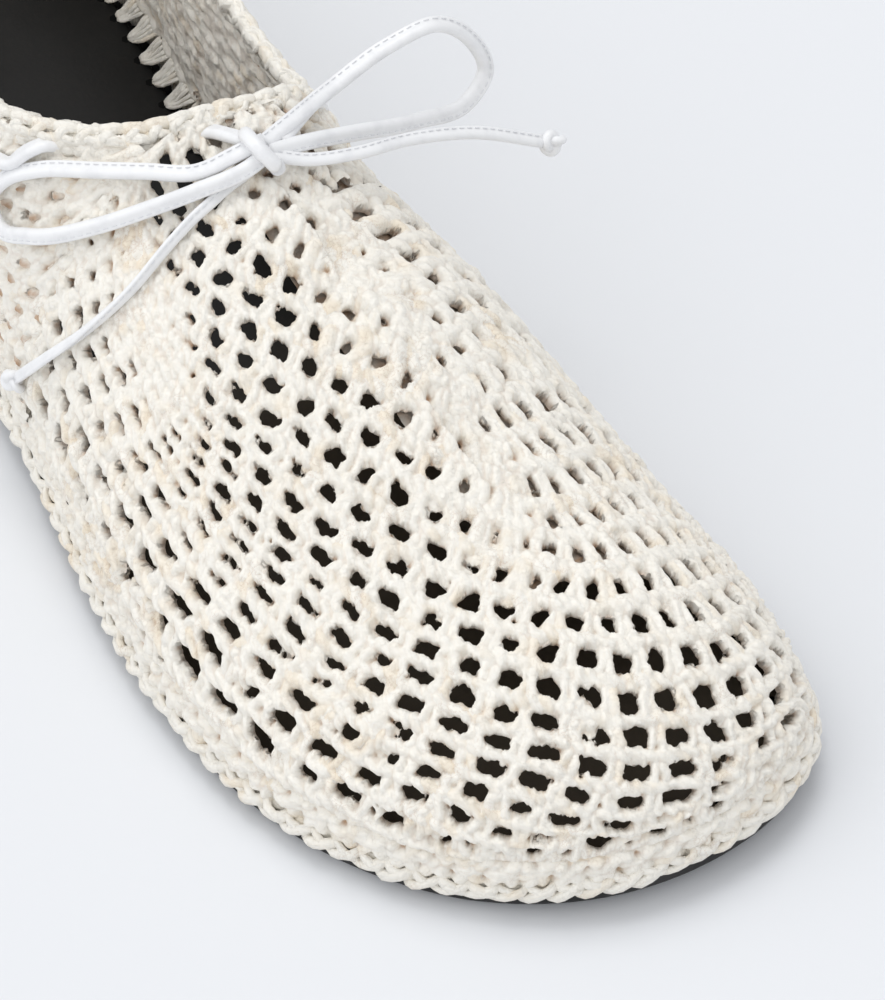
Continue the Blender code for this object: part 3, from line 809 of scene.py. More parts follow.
def cellRows(rows, count, shift):
    # cells of row and stitch, each row shifted against the one below
    row, stitch = np.meshgrid(np.arange(float(rows)), np.arange(float(count)), indexing="ij")
    return np.stack([row.ravel(), (stitch + shift(row)).ravel()], 1)


def brick(row):
    return 0.5 * (row % 2)


# stitch rows over the vamp: a place on the flat is a sum of these terms in tens of rows and stitches
# the rows turn round the toe; the far side has its own count, joined along the closed crown
lattices = {
    "near": table(
        "rows stitches x y",
        (0, 0, 13.38, 190.60), (0, 1, 28.49, -57.10), (0, 2, -13.12, -13.36), (0, 3, -3.72, 12.67),
        (0, 4, -2.12, -0.31), (1, 0, -35.17, -40.81), (1, 1, 3.21, 37.02), (1, 2, 37.18, -4.48),
        (1, 3, -22.36, -6.63), (2, 0, -4.58, -22.26), (2, 1, -12.64, -1.02), (2, 2, 19.70, -7.02),
        (3, 0, -5.59, 14.41), (3, 1, -15.28, 3.41), (4, 0, 10.27, 4.37),
    ),
    "far": table(
        "rows stitches x y",
        (0, 0, 13.53, 195.67), (0, 1, 36.19, -20.51), (0, 2, 21.85, 76.07), (0, 3, 48.56, 107.74),
        (0, 4, 22.96, 36.55), (1, 0, -28.59, -57.83), (1, 1, 13.92, -61.74), (1, 2, 68.77, -192.51),
        (1, 3, 24.25, -118.90), (2, 0, 5.24, -26.25), (2, 1, -66.15, -53.76), (2, 2, -87.76, -49.36),
        (3, 0, 2.47, 15.69), (3, 1, 2.49, -15.27), (4, 0, 1.90, -8.99),
    ),
}


def latticeFlat(side, row, stitch):
    terms = lattices[side]
    weight = (row[..., None] / 10) ** terms["rows"] * (stitch[..., None] / 10) ** terms["stitches"]
    flat = np.stack([weight @ terms["x"], weight @ terms["y"]], -1)
    x, y = flat[..., 0], flat[..., 1]
    sway = np.stack([np.sin(y * 0.31 + x * 0.17), np.sin(x * 0.29 - y * 0.13)], -1)
    return flat + 0.3 * sway


edging = {
    "pitch": 5.2,
    "rows": 2,
    "low": 0.9,
    "rowHeight": 2.9,
    "high": 6.8,  # the band ends here in front of the quarters
    "wide": 1.1,
    "thick": 0.65,
    "loose": 0.06,
    "slip": 1.5,  # the last millimetres of the band and of the vamp sink under each other
    "sink": 1.3,
}

vamp = {
    "wide": 0.88,
    "thick": 0.72,
    "loose": 0.05,
    "pits": 1.45,  # strands this much wider on the close crown
    "slits": 1.42,  # and by the collar on the near side
    "fuller": 0.18,  # and low on the near side
    "farSize": table("row size", (-3, 1.0), (0, 1.06), (3, 1.12), (8, 0.95)),
    "lowest": 5.2,  # millimetres of wall left to the close rows along the sole
    "rear": 116.0,
    "rearEdge": 116.5,
    "collarGap": 2.5,
    "rollGap": 1.2,  # left to the collar roll
    "cellArea": (2, 70),  # square millimetres
    "fullArea": 30,
    "lap": 1.5,
    "back": {
        "depth": 2.5, "step": 0.5, "row": 3.4, "stitch": 2.7, "nub": 0.7, "x": (-62.0, 12.0), "y": (118.0, 206.0),
    },
    "backPast": table("fromHeel x", (118, 10), (150, 12), (206, 6)),  # how far it reaches past the seam
    "fillPitch": 5.2,
    "fillHeight": 3.6,
    "fillGap": 3.9,
    "fillRows": 9,
    "hems": table("reach sway phase", (5.5, 0.4, 0.0), (6.4, 0.4, 2.1), (7.2, 0.6, 4.2)),
    "hemStrands": (400, 6),  # short strands, and points in each
    "hemWide": 0.95,
    "hemLift": -1.0,
    "sheet": ((-72, 112), (72, 262)),
    "step": 0.28,
    "near": {"rows": (-14, 13), "stitches": (-4, 16)},
    "far": {"rows": (-9, 19), "stitches": (-15, -2)},
    "seam": table("fromHeel x", (117, -11.2), (178, -11.0), (191, -9.5), (201, -7.9), (210, -4.8), (219, 0.9)),
    "shut": table(
        "row stitch",
        (0.5, -6.5), (1, -3.5), (2, -2.5), (3, -1.5), (4, -0.5), (5, 2.4), (6, 2.5), (7, 6.5), (13, 8),
    ),
}


def lobe(*path, **size):
    return {"path": path, **size}


# an open stitch: two legs that spread below, and a bar above them wrapped by slanted turns
legPath = ((0.60, 0.47, -1.9), (0.32, 0.42, -0.75), (0.0, 0.385, -0.65), (-0.28, 0.34, -0.75), (-0.52, 0.25, -1.9))
wrapPath = ((-0.17, -0.2, -1.8), (-0.09, -0.1, -0.6), (0.04, 0.06, -0.42), (0.12, 0.16, -0.75), (0.17, 0.22, -1.9))
barCore = lobe((0.50, -0.7, -1.7), (0.49, -0.2, -1.45), (0.51, 0.2, -1.45), (0.50, 0.7, -1.7), wide=1.3, thick=1.1)
postCore = lobe((0.6, 0.5, -1.7), (0.2, 0.5, -1.5), (-0.2, 0.5, -1.5), (-0.6, 0.5, -1.7), wide=1.5, thick=1.0)
legs = (lobe(*legPath), lobe(*[(r, 1 - s, z) for r, s, z in legPath]))
wraps = tuple(lobe(*[(0.5 + r, at + s, z) for r, s, z in wrapPath]) for at in (-0.34, 0.0, 0.34))
openStitch = (barCore, postCore) + legs + wraps
# one more post where the stitches are close
closeStitch = tuple(
    lobe(*[(r, (s - 0.5) * 0.85, z - 1.4) for r, s, z in strand["path"]], wide=1.35) for strand in (postCore,) + legs
)


def sunk(away):
    # how deep a border lies under the next piece
    share = np.clip(1 - away / edging["slip"], 0, 1)
    return edging["sink"] * share * share * (3 - 2 * share)


def seamX(y):
    return np.interp(y, *vamp["seam"].values())


def underCollar(station, reach, gap):
    rimmed = lookUp(wall["cut"].astype(float), station) > 0.01
    return ~rimmed | (reach < lookUp(wall["collar"], station) - gap)


def vampCells(side):
    spans = [np.arange(*vamp[side][key]) * 1.0 for key in ("rows", "stitches")]
    row, stitch = [cells.ravel() for cells in np.meshgrid(*spans, indexing="ij")]
    flat = latticeFlat(side, row, stitch)
    along = latticeFlat(side, row, stitch + 0.5) - latticeFlat(side, row, stitch - 0.5)
    across = latticeFlat(side, row + 0.5, stitch) - latticeFlat(side, row - 0.5, stitch)
    area = across[:, 0] * along[:, 1] - across[:, 1] * along[:, 0]
    station, reach = flatToWall(flat)
    keep = (reach > vamp["lowest"] - 5) & (flat[:, 1] > vamp["rear"])
    keep &= underCollar(station, reach, vamp["collarGap"])
    keep &= (area > vamp["cellArea"][0]) & (area < vamp["cellArea"][1])
    seam = seamX(flat[:, 1])
    if side == "near":
        keep &= (flat[:, 0] > seam - vamp["lap"]) | (row < 4)
        shut = stitch < np.interp(row, *vamp["shut"].values(), left=-99)
        slit = (stitch > 6.5) & (row > -2.5 - 0.6 * (stitch - 7)) & (row < 3.5)
        low = np.clip((stitch - 2) / 4, 0, 1) * np.clip((-2 - row) / 3, 0, 1)
        loosest = np.where(slit, vamp["slits"], 1 + vamp["fuller"] * low)
    else:
        keep &= np.where(row < 3.5, stitch < -4.5, flat[:, 0] < seam + vamp["lap"])
        shut = ((row > 3.5) & (stitch > -4.8)) | (row > 6.5)
        loosest = 1.0
    size = np.clip(np.sqrt(np.maximum(area, 0) / vamp["fullArea"]), 0.72, 1.0)
    size = size * np.where(shut, vamp["pits"], loosest)
    if side == "far":
        size = size * np.interp(row, *vamp["farSize"].values())
    lean = np.clip(-(along * across).sum(-1) / (along ** 2).sum(-1), -0.6, 0.6)
    return np.stack([row, stitch], 1)[keep], size[keep], lean[keep]


def fillFlat(row, stitch):
    return wallToFlat(stationAt(stitch * vamp["fillPitch"]), vamp["lowest"] + (row + 0.7) * vamp["fillHeight"])


def makeVamp():
    sheet = Felt(*vamp["sheet"], vamp["step"])
    laid = []
    for side in ("near", "far"):
        cells, size, lean = vampCells(side)
        laid.append(latticeFlat(side, cells[:, 0], cells[:, 1]))
        toFlat = lambda row, stitch: latticeFlat(side, row, stitch)
        layFelt(sheet, cells, openStitch, toFlat, vamp, size, lean)
        print(side, "side of the vamp has", len(cells), "stitches")

    # stitches in rows along the sole, wherever neither lattice reaches
    cells = cellRows(vamp["fillRows"], int(wall["arc"][-1] / vamp["fillPitch"]), brick)
    spots = fillFlat(cells[:, 0], cells[:, 1])
    alone = np.linalg.norm(spots[:, None] - np.vstack(laid)[None], axis=-1).min(1) > vamp["fillGap"]
    cells = cells[alone & (spots[:, 1] > vamp["rear"])]
    layFelt(sheet, cells, openStitch, fillFlat, vamp)
    print(len(cells), "more stitches close the edges of the vamp")

    # hem rows follow the sole and close the lowest stitches
    front = np.arange(edgeCount)[wall["curve"][:, 1] > vamp["rear"] - 4]
    count, rings = vamp["hemStrands"]
    for reach, sway, phase in zip(*vamp["hems"].values()):
        waves = reach + sway * np.sin(wall["arc"][front] * 2 * np.pi / edging["pitch"] + phase)
        line = wallToFlat(front.astype(float), waves)
        line = resample(line, np.arange(len(line)), np.linspace(0, len(line) - 1, count * rings))
        lifts = np.full((count, rings), vamp["hemLift"])
        wide, thick = np.full(count, vamp["hemWide"]), np.full(count, vamp["thick"])
        sheet.add(line.reshape(count, rings, 2), lifts, wide, thick)

    def allowed(flat):
        station, reach = flatToWall(flat)
        fine = (reach > vamp["lowest"]) & (flat[..., 1] > vamp["rearEdge"])
        return fine & underCollar(station, reach, vamp["rollGap"])

    def toPlace(flat):
        station, reach = flatToWall(flat)
        place, normal = onWall(station, reach)
        return place - normal * sunk(reach - vamp["lowest"])[..., None], normal

    parts = {
        "vampNear": lambda flat: flat[:, 0] > seamX(flat[:, 1]),
        "vampFar": lambda flat: ~(flat[:, 0] > seamX(flat[:, 1])),
    }
    return sheet.finish(toPlace, allowed, parts) + [vampBack()]


def vampBack():
    # the inside of the weave in nubby rows, seen through the small gaps of the crown and the far side
    back = vamp["back"]
    x, y = np.meshgrid(*[np.arange(*back[key], back["step"]) for key in ("x", "y")], indexing="ij")
    flat = np.stack([x, y], -1)
    station, reach = flatToWall(flat)
    fine = (reach > vamp["lowest"] + 2) & (x < seamX(y) + np.interp(y, *vamp["backPast"].values()))
    row = y / back["row"]
    stitch = x / back["stitch"] + brick(np.floor(row))
    nub = np.abs(np.sin(np.pi * row)) ** 0.7 * (0.5 + 0.5 * np.abs(np.sin(np.pi * stitch)))
    nub = nub * rng.uniform(0.8, 1.0, x.shape)
    place, normal = onWall(station, reach)
    points = (place - normal * (back["depth"] + back["nub"] * nub)[..., None]).reshape(-1, 3)
    quads = gridQuads(np.arange(x.size).reshape(x.shape))
    quads = quads[fine.ravel()[quads].all(-1)]
    used = np.unique(quads)
    layers = {
        "fibre": np.column_stack([flat.reshape(-1, 2)[used] * 0.4, np.zeros(len(used))]),
        "tone": np.full(len(used), 0.6),
        # painted shade: the backing is coloured mostly dark brown, darkest between the nubs
        "depth": 0.9 - 0.5 * nub.ravel()[used],
    }
    return addRaffia("vampBack", points[used], [np.searchsorted(used, quads)], layers)


def edgeFlat(row, stitch):
    # rows along the sole, from the braid up: millimetres along the outline and up the wall
    return np.stack([stitch * edging["fit"], edging["low"] + (row + 0.5) * edging["rowHeight"]], -1)


braid = {
    "pitch": 4.4,
    "wide": 0.85,
    "thick": 0.7,
    "loose": 0.05,
    "drop": table("pastToe drop", (-40, 2.2), (-8, 0.8), (30, 0.5), (80, 2.2)),  # shows the sole under the big toe
}


def onBraid(row, stitch):
    arc = stitch * braid["fit"]
    past = np.mod(arc, wall["arc"][-1]) - wall["arc"][wall["toe"]]
    return onWall(stationAt(arc), row - np.interp(past, *braid["drop"].values()))


edgeStitch = (
    lobe((0.62, 0.02, -1.9), (0.3, -0.06, -0.5), (-0.2, -0.26, -0.6), (-0.6, -0.36, -1.9)),
    lobe((0.62, -0.02, -1.9), (0.3, 0.08, -0.5), (-0.2, 0.24, -0.6), (-0.6, 0.30, -1.9)),
    lobe((0.36, -0.62, -2.0), (0.46, -0.3, -0.5), (0.54, 0.1, -0.4), (0.6, 0.55, -1.9)),
    lobe((0.0, -0.62, -2.1), (0.05, -0.2, -1.7), (0.0, 0.2, -1.7), (0.05, 0.66, -2.1), wide=1.3),
)
# rope of the sole edge: rows here are millimetres up the wall
ropeStitch = (
    lobe((0.1, -0.75, -1.4), (0.7, -0.35, 0.1), (1.6, 0.1, 0.55), (2.7, 0.55, 0.1), (3.2, 0.8, -1.2), wide=1.15),
    lobe((3.4, -0.45, -1.4), (2.9, -0.1, 0.0), (2.2, 0.3, 0.2), (1.2, 0.7, -0.3), (0.6, 0.95, -1.4)),
    lobe((0.2, -0.66, -1.7), (0.3, 0.0, -0.9), (0.2, 0.66, -1.7), wide=1.2, thick=1.2),
    lobe((2.2, -0.66, -1.9), (2.2, 0.0, -1.2), (2.2, 0.66, -1.9), wide=1.3, thick=1.1),
)


def fitPitch(length, pitch):
    # whole stitches round a closed edge, and their exact pitch
    count = int(length / pitch)
    return count, length / count


def makeRow(name, piece, length, motif, toPlace):
    # one row of stitches round a closed edge
    count, piece["fit"] = fitPitch(length, piece["pitch"])
    pile = StrandPile(name)
    for row, stitch, lift, wide, thick in drawStrands(cellRows(1, count, brick), motif, piece, tubePull):
        place, normal = toPlace(row, stitch)
        pile.add(place + normal * lift[..., None], normal, wide, thick, lift)
    return pile.finish()


quarter = {
    "pitch": 5.8,
    "rows": 11,
    "shift": 0.35,  # each row against the one below, in stitches
    "low": 7.4,
    "high": 62,
    "top": 3.0,  # left to the collar roll
    "front": 119.5,
    "innerFront": 134.0,
    "frontDrop": 9,
    "wide": 0.95,
    "thick": 0.6,
    "loose": 0.06,
    "closed": 0.75,  # share of the stitches with one more post
    "foot": 0.2,
    "step": 0.34,
    "liningStep": 0.5,
    "inside": 2.0,  # depth of the lining's mid line
}


def quarterFlat(row, stitch):
    arc = stitch * quarter["fit"]
    span = lookUp(wall["collar"], stationAt(arc)) - quarter["top"] - quarter["low"]
    return np.stack([arc, quarter["low"] + span * (row + 0.5) / quarter["rows"]], -1)


def behind(arc, inside):
    # true for the quarters, which on the inner side run a little past the throat
    front = np.where((arc > wall["arc"][wall["toe"]]) & (not inside), quarter["innerFront"], quarter["front"])
    return lookUp(wall["curve"], stationAt(arc))[..., 1] < front


def makeSides():
    # the rows along the sole and the two quarters, as one band round the shoe
    around, toeArc = wall["arc"][-1], wall["arc"][wall["toe"]]
    made = []
    outerParts = {"sideOuter": lambda flat: flat[:, 0] < toeArc, "sideInner": lambda flat: flat[:, 0] >= toeArc}
    innerParts = {"sideLining": lambda flat: flat[:, 0] >= 0}
    for parts, inside in ((outerParts, False), (innerParts, True)):
        sheet = Felt((0, 0), (around, quarter["high"]), quarter["liningStep"] if inside else quarter["step"], True)
        count, edging["fit"] = fitPitch(around, edging["pitch"])
        cells = cellRows(edging["rows"], count, brick)
        layFelt(sheet, cells, edgeStitch, edgeFlat, edging)
        count, quarter["fit"] = fitPitch(around, quarter["pitch"])
        cells = cellRows(quarter["rows"], count, lambda row: quarter["shift"] * row)
        cells[:, 1] %= count
        cells = cells[behind(cells[:, 1] * quarter["fit"], inside)]
        layFelt(sheet, cells, openStitch, quarterFlat, quarter)
        shut = rng.uniform(0, 1, len(cells)) < (1.0 if inside else quarter["closed"])
        layFelt(sheet, cells[shut], closeStitch, quarterFlat, quarter)

        def allowed(flat):
            station = stationAt(flat[..., 0])
            y = lookUp(wall["curve"], station)[..., 1]
            underRoll = lookUp(wall["collar"], station) - vamp["rollGap"]
            high = np.where(y < quarter["front"], underRoll, lookUp(wall["length"], station) - quarter["frontDrop"])
            high = np.where(behind(flat[..., 0], inside), high, 0.0 if inside else edging["high"])
            return (flat[..., 1] > quarter["foot"]) & (flat[..., 1] < high)

        def toPlace(flat):
            place, normal = onWall(stationAt(flat[..., 0]), flat[..., 1])
            if inside:
                return place - normal * quarter["inside"], -normal
            low = np.where(behind(flat[..., 0], False), 0.0, sunk(edging["high"] - flat[..., 1]))
            return place - normal * low[..., None], normal

        made += sheet.finish(toPlace, allowed, parts)
    return made


collarRoll = {"pitch": 3.7, "wide": 0.82, "thick": 0.62, "loose": 0.06, "under": 0.6, "points": 700}


def rimLine():
    # line round the opening with its outward normal and the way down the wall
    cut = np.arange(edgeCount)[wall["cut"]]
    split = np.argmax(np.diff(cut)) + 1  # start on the inner side of the throat, run round the heel
    order = np.concatenate([cut[split:], cut[:split]])
    station = np.unwrap(order.astype(float), period=edgeCount)
    fine = np.linspace(station[0], station[-1], 1600)
    place, normal = onWall(fine, lookUp(wall["collar"], fine) - collarRoll["under"])
    place = np.vstack([place, place[:1]])
    normal = np.vstack([normal, normal[:1]])
    run = runAlong(place)
    even = np.linspace(0, run[-1], collarRoll["points"])
    place, normal = resample(place, run, even), unit(resample(normal, run, even))
    for _ in range(6):
        place[1:-1] = (place[:-2] + 2 * place[1:-1] + place[2:]) / 4
    ahead = unit(np.gradient(place, axis=0))
    down = unit(np.cross(normal, ahead))
    if down[:, 2].mean() > 0:
        down = -down
    return {"place": place, "normal": normal, "down": down, "length": run[-1]}


rim = rimLine()


def onRim(row, stitch):
    # rows here are millimetres down from the edge of the collar
    last = collarRoll["points"] - 1
    where = np.mod(stitch * collarRoll["fit"], rim["length"]) / rim["length"] * last
    k = np.clip(np.floor(where).astype(int), 0, last - 1)
    f = (where - k)[..., None]
    place, normal, down = [rim[key][k] * (1 - f) + rim[key][k + 1] * f for key in ("place", "normal", "down")]
    return place + down * row[..., None], unit(normal)


rimStitch = (
    lobe((2.6, -0.55, -2.0), (1.2, -0.3, 0.0), (0.2, 0.0, -0.3), (-0.6, 0.3, -1.6), (0.4, 0.5, -3.0)),
    lobe((0.0, -0.7, -1.6), (-0.3, -0.3, -0.7), (-0.3, 0.2, -0.6), (0.1, 0.7, -1.6), wide=1.15),
    lobe((1.6, -0.7, -1.8), (1.3, -0.2, -0.4), (1.7, 0.3, -0.4), (2.2, 0.75, -1.8)),
    lobe((0.6, -0.7, -2.0), (0.6, 0.0, -1.7), (0.6, 0.7, -2.0), wide=1.9, thick=1.7),
    lobe((2.6, -0.7, -1.8), (2.9, 0.0, -1.3), (2.6, 0.7, -1.8), wide=2.0, thick=1.2),
)


crochet = makeVamp() + makeSides()
crochet.append(makeRow("edgeBraid", braid, wall["arc"][-1], ropeStitch, onBraid))
crochet.append(makeRow("collarRoll", collarRoll, rim["length"], rimStitch, onRim))
for item in crochet:
    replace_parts(item, "upper")
print("crochet laid in", len(crochet), "pieces")

insole = {
    "offset": -2.9,
    "thick": 2.0,
    "stitchPitch": 5.0,
    "stitchTip": -4.1,
    "strands": (-2.3, -1.1, 0.1, 1.3, 2.2),  # across one stitch, in outline points
    "strandWide": 0.66,
    "strandThick": 0.35,
    "holeAhead": 3.2,
    "holePast": 0.4,
    "holeSides": 6,
}


def bedTop(y):
    return topZ(y) + shape["gap"] + insole["thick"]


# rings from the underside up: offset from the outline, what it follows, millimetres above that
soleRings = (
    (-1.0, underZ, 0.0), (-0.2, underZ, 0.15), (0.35, underZ, 0.7), (0.6, underZ, 1.5),
    (0.6, topZ, -0.5), (0.4, topZ, -0.1), (0.0, topZ, 0.0),
)
bedRings = ((0.0, topZ, shape["gap"]), (0.0, bedTop, -0.6), (-0.25, bedTop, -0.15), (-0.7, bedTop, 0.0))


def addSlab(name, levels, offset, look, step=3):
    # closed body through stacked rings; the faces run from side to side
    rings = []
    for out, base, rise in levels:
        curve = outline(offset + out)
        rings.append(np.column_stack([curve, base(curve[:, 1]) + rise])[::step])
    size = len(rings[0])
    k = np.arange(size)
    n = (k + 1) % size
    quads = [np.stack([low + k, low + n, low + size + n, low + size + k], 1)
             for low in np.arange(len(rings) - 1) * size]
    top = (len(rings) - 1) * size
    half = size // 2
    a = np.arange(1, half - 1)
    across = np.stack([a, a + 1, size - a - 1, size - a], 1)
    tips = np.array([(0, 1, size - 1), (half - 1, half, half + 1)])
    faces = [np.concatenate(quads + [top + across, across[:, ::-1]]), np.concatenate([top + tips, tips[:, ::-1]])]
    return addMesh(name, np.vstack(rings), faces, look)


def makeSole():
    # rounded black sole with its edge set in underneath, and the footbed on it
    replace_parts(addSlab("soleBody", soleRings, 0.0, "sole"), "outsole")
    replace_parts(addSlab("footbed", bedRings, insole["offset"], "insole"), "insole")


def insoleSpot(station, offset):
    curve = wall["curve"]
    ahead = unit(lookUp(curve, station + 1) - lookUp(curve, station - 1))
    normal = np.stack([ahead[..., 1], -ahead[..., 0]], -1)
    flat = lookUp(curve, station) + normal * (offset - shape["wallOffset"])
    return np.column_stack([flat, bedTop(flat[:, 1])])


# the way of a whip stitch: offset from the outline and height over the footbed
whipPath = table("offset height", (-0.8, 4.6), (-1.7, 3.2), (-2.5, 1.7), (-3.3, 0.8), (insole["stitchTip"], 0.1))


def makeWhipStitches():
    # flat raffia stitches over the edge of the footbed, each into a hole shown as a near-black disc of painted shade
    around = wall["arc"][-1]
    count = int(around / insole["stitchPitch"])
    station = stationAt(np.arange(count) * around / count)
    pile = StrandPile("whipStitches")
    for lean in insole["strands"]:
        path = []
        for k, (offset, height) in enumerate(zip(*whipPath.values())):
            spread = lean * (1.15 - 0.22 * k) + 0.75 * k  # the strands close up towards the hole
            path.append(insoleSpot(station + spread, offset) + (0, 0, height))
        path = np.stack(path, 1)
        basis = curveBasis(path[0], strandLook["rings"])
        path = np.einsum("rk,nkc->nrc", basis, path + rng.normal(0, 0.08, path.shape))
        upward = np.broadcast_to((0.0, 0.0, 1.0), path.shape)
        sizes = [np.full(count, insole[key]) for key in ("strandWide", "strandThick")]
        pile.add(path, upward, *sizes, np.full(path.shape[:2], -0.6))
    pile.finish()
    sides = insole["holeSides"]
    turn = np.arange(sides) * 2 * np.pi / sides
    ring = np.stack([np.cos(turn), np.sin(turn), np.zeros(sides)], 1)
    centre = insoleSpot(station + insole["holeAhead"], insole["stitchTip"] - insole["holePast"])[:, None]
    holes = np.stack([centre + radius * ring + (0, 0, height) for radius, height in ((0.85, 0.02), (0.45, 0.06))], 1)
    outer = np.arange(count)[:, None] * 2 * sides + np.arange(sides)
    after = np.roll(outer, -1, 1)
    faces = np.stack([outer, after, after + sides, outer + sides], -1).reshape(-1, 4)
    # painted shade: each hole is a near-black disc lying on the footbed
    addMesh("holeShadeDiscs", holes.reshape(-1, 3), [faces, outer + sides], "holeShade")


makeSole()
makeWhipStitches()
print("sole, footbed and its stitches made")

# the lace: a folded strip sewn along one side, in the shoe's own millimetres
lace = {
    "stitchPitch": 1.45,
    "stitchLength": 0.85,
    "stitchEnds": 1.2,  # bare at both ends
    "stitchAcross": -0.92,
    "stitchRise": (0.42, 0.12),
    "stitchThick": 0.07,
    "stitchRings": 4,
    "stitchSides": 5,
    "waveLength": 25.0,
    "waveIn": -0.3,
    "waveOut": 1.3,
    "depth": 9.0,
    "front": 114,  # in the collar behind this
    "nearFront": 95,  # on the near side it follows the photo from here
    "up": (0.30, 0.45, 0.84),  # the way the sewn face looks
    "entry": ((-8.5, 128.4, 59.6), (-15.5, 124.5, 58.0), (-20.5, 119.8, 52.5)),
    "leave": (
        (25.9, 99.4, 51.1), (25.1, 102.4, 51.9), (22.6, 104.3, 54.9), (20.3, 105.4, 56.0), (17.9, 106.0, 54.8),
        (13.6, 109.3, 54.6), (7.1, 113.5, 55.4), (0.8, 116.3, 55.6), (-1.9, 118.5, 56.9), (-2.9, 121.4, 58.3),
        (-3.9, 124.2, 59.2), (-5.6, 127.4, 59.4),
    ),
}
# cross-section: the round fold, then the sewn flange
laceSection = table(
    "across rise",
    (1.30, 0.0), (1.12, 0.60), (0.62, 0.95), (0.08, 0.98), (-0.40, 0.66), (-0.62, 0.44), (-1.15, 0.42), (-1.36, 0.2),
    (-1.36, -0.2), (-1.15, -0.42), (-0.62, -0.44), (-0.40, -0.66), (0.08, -0.98), (0.62, -0.95), (1.12, -0.60),
)
bow = {
    "loop_left": (
        (-6.0, 127.6, 60.6), (-2.0, 126.8, 59.8), (4.8, 125.0, 57.9), (11.1, 119.9, 57.4), (16.5, 114.5, 56.1),
        (22.6, 107.3, 53.4), (26.3, 102.9, 49.2), (28.3, 101.6, 43.9), (28.8, 104.9, 41.6), (27.2, 111.1, 44.4),
        (20.4, 120.3, 51.2), (13.6, 124.5, 54.7), (6.4, 127.6, 57.2), (-1.8, 129.5, 58.9), (-6.0, 129.2, 59.9),
    ),
    "loop_right": (
        (-5.8, 127.8, 60.4), (-12.0, 126.4, 60.4), (-21.5, 122.6, 57.6), (-33.6, 122.0, 59.8), (-41.6, 122.4, 59.6),
        (-47.4, 123.6, 53.6), (-49.2, 125.2, 45.6), (-44.0, 127.6, 44.3), (-34.0, 128.2, 47.2),
        (-20.4, 129.6, 54.6), (-12.0, 129.8, 58.4), (-5.8, 129.2, 59.8),
    ),
    "end_left": (
        (-5.6, 129.0, 58.6), (-1.7, 128.6, 56.6), (1.9, 128.7, 55.8), (5.1, 129.3, 55.3), (9.2, 129.8, 54.2),
        (13.2, 130.3, 52.4), (21.2, 131.0, 47.3), (29.1, 128.4, 39.1), (32.9, 123.9, 31.4), (34.8, 117.8, 21.7),
    ),
    "end_right": (
        (-5.8, 129.8, 59.4), (-10.4, 132.2, 57.6), (-18.4, 134.2, 55.6), (-28.0, 134.2, 52.4), (-40.0, 135.6, 47.4),
        (-51.0, 138.4, 40.6),
    ),
    "knot": (-5.9, 128.6, 59.7),
    "knotUp": (1.0, 0.2, 0.1),
    "knotScale": 1.25,
    "diameter": 2.7,
    "ends": 0.8,
    "edgeOn": (-0.55, 0.75, 0.35),  # the left end shows its sewn edge
    "endKnot": {"past": 1.9, "size": 0.52, "scale": 0.72},
}


def smoothPath(points, step):
    points = np.array(points, float)
    start = runAlong(points)
    along = np.linspace(0, start[-1], max(int(start[-1] / step), 4) + 1)
    return np.stack([follow(along, start, column) for column in points.T], 1)


def laceFrames(path, up):
    ahead = unit(np.gradient(path, axis=0))
    side = unit(np.cross(ahead, np.broadcast_to(up, path.shape)))
    return side, np.cross(side, ahead)


def addLace(name, path, up, scale=1.0, flip=1.0):
    side, rise = laceFrames(path, up)
    across, high = laceSection["across"] * flip * scale, laceSection["rise"] * scale
    points = path[:, None] + side[:, None] * across[None, :, None] + rise[:, None] * high[None, :, None]
    faces = tubeFaces(1, len(path), len(across))
    return addMesh(name, points.reshape(-1, 3), [f if flip > 0 else f[:, ::-1] for f in faces], "lace")


def addSewing(name, path, up, scale, flip):
    # a line of small stitches along the flange
    run, frames = runAlong(path), laceFrames(path, up)
    rings, sides = lace["stitchRings"], lace["stitchSides"]
    centres = np.arange(lace["stitchEnds"], run[-1] - lace["stitchEnds"], lace["stitchPitch"])
    where = (centres[:, None] + np.linspace(-0.5, 0.5, rings) * lace["stitchLength"]).ravel()
    at, side, rise = [resample(values, run, where) for values in (path, *frames)]
    foot, crown = lace["stitchRise"]
    lift = np.tile(foot + crown * np.sin(np.linspace(0.15, 0.85, rings) * np.pi), len(centres))
    middle = at + side * (lace["stitchAcross"] * flip * scale) + rise * (lift * scale)[:, None]
    turn = 2 * np.pi * np.arange(sides)[:, None] / sides
    ring = side[:, None] * np.cos(turn) + rise[:, None] * np.sin(turn)
    points = (middle[:, None] + lace["stitchThick"] * ring).reshape(-1, 3)
    return addMesh(name, points, tubeFaces(len(centres), rings, sides), "thread")


def endKnot(name, centre, ahead):
    # small overhand knot
    turn = np.linspace(0, 2 * np.pi, 49)
    along, high = np.sin(turn) + 2 * np.sin(2 * turn), np.cos(turn) - 2 * np.cos(2 * turn)
    loop = np.stack([along, high, -1.2 * np.sin(3 * turn)], 1)
    side = unit(np.cross(ahead, (0, 0, 1.0)))
    up = np.cross(side, ahead)
    path = centre + bow["endKnot"]["size"] * (loop[:, :1] * ahead + loop[:, 1:2] * up + loop[:, 2:] * side)
    return addLace(name, path, side + 0.3 * up + 0.01, bow["endKnot"]["scale"])


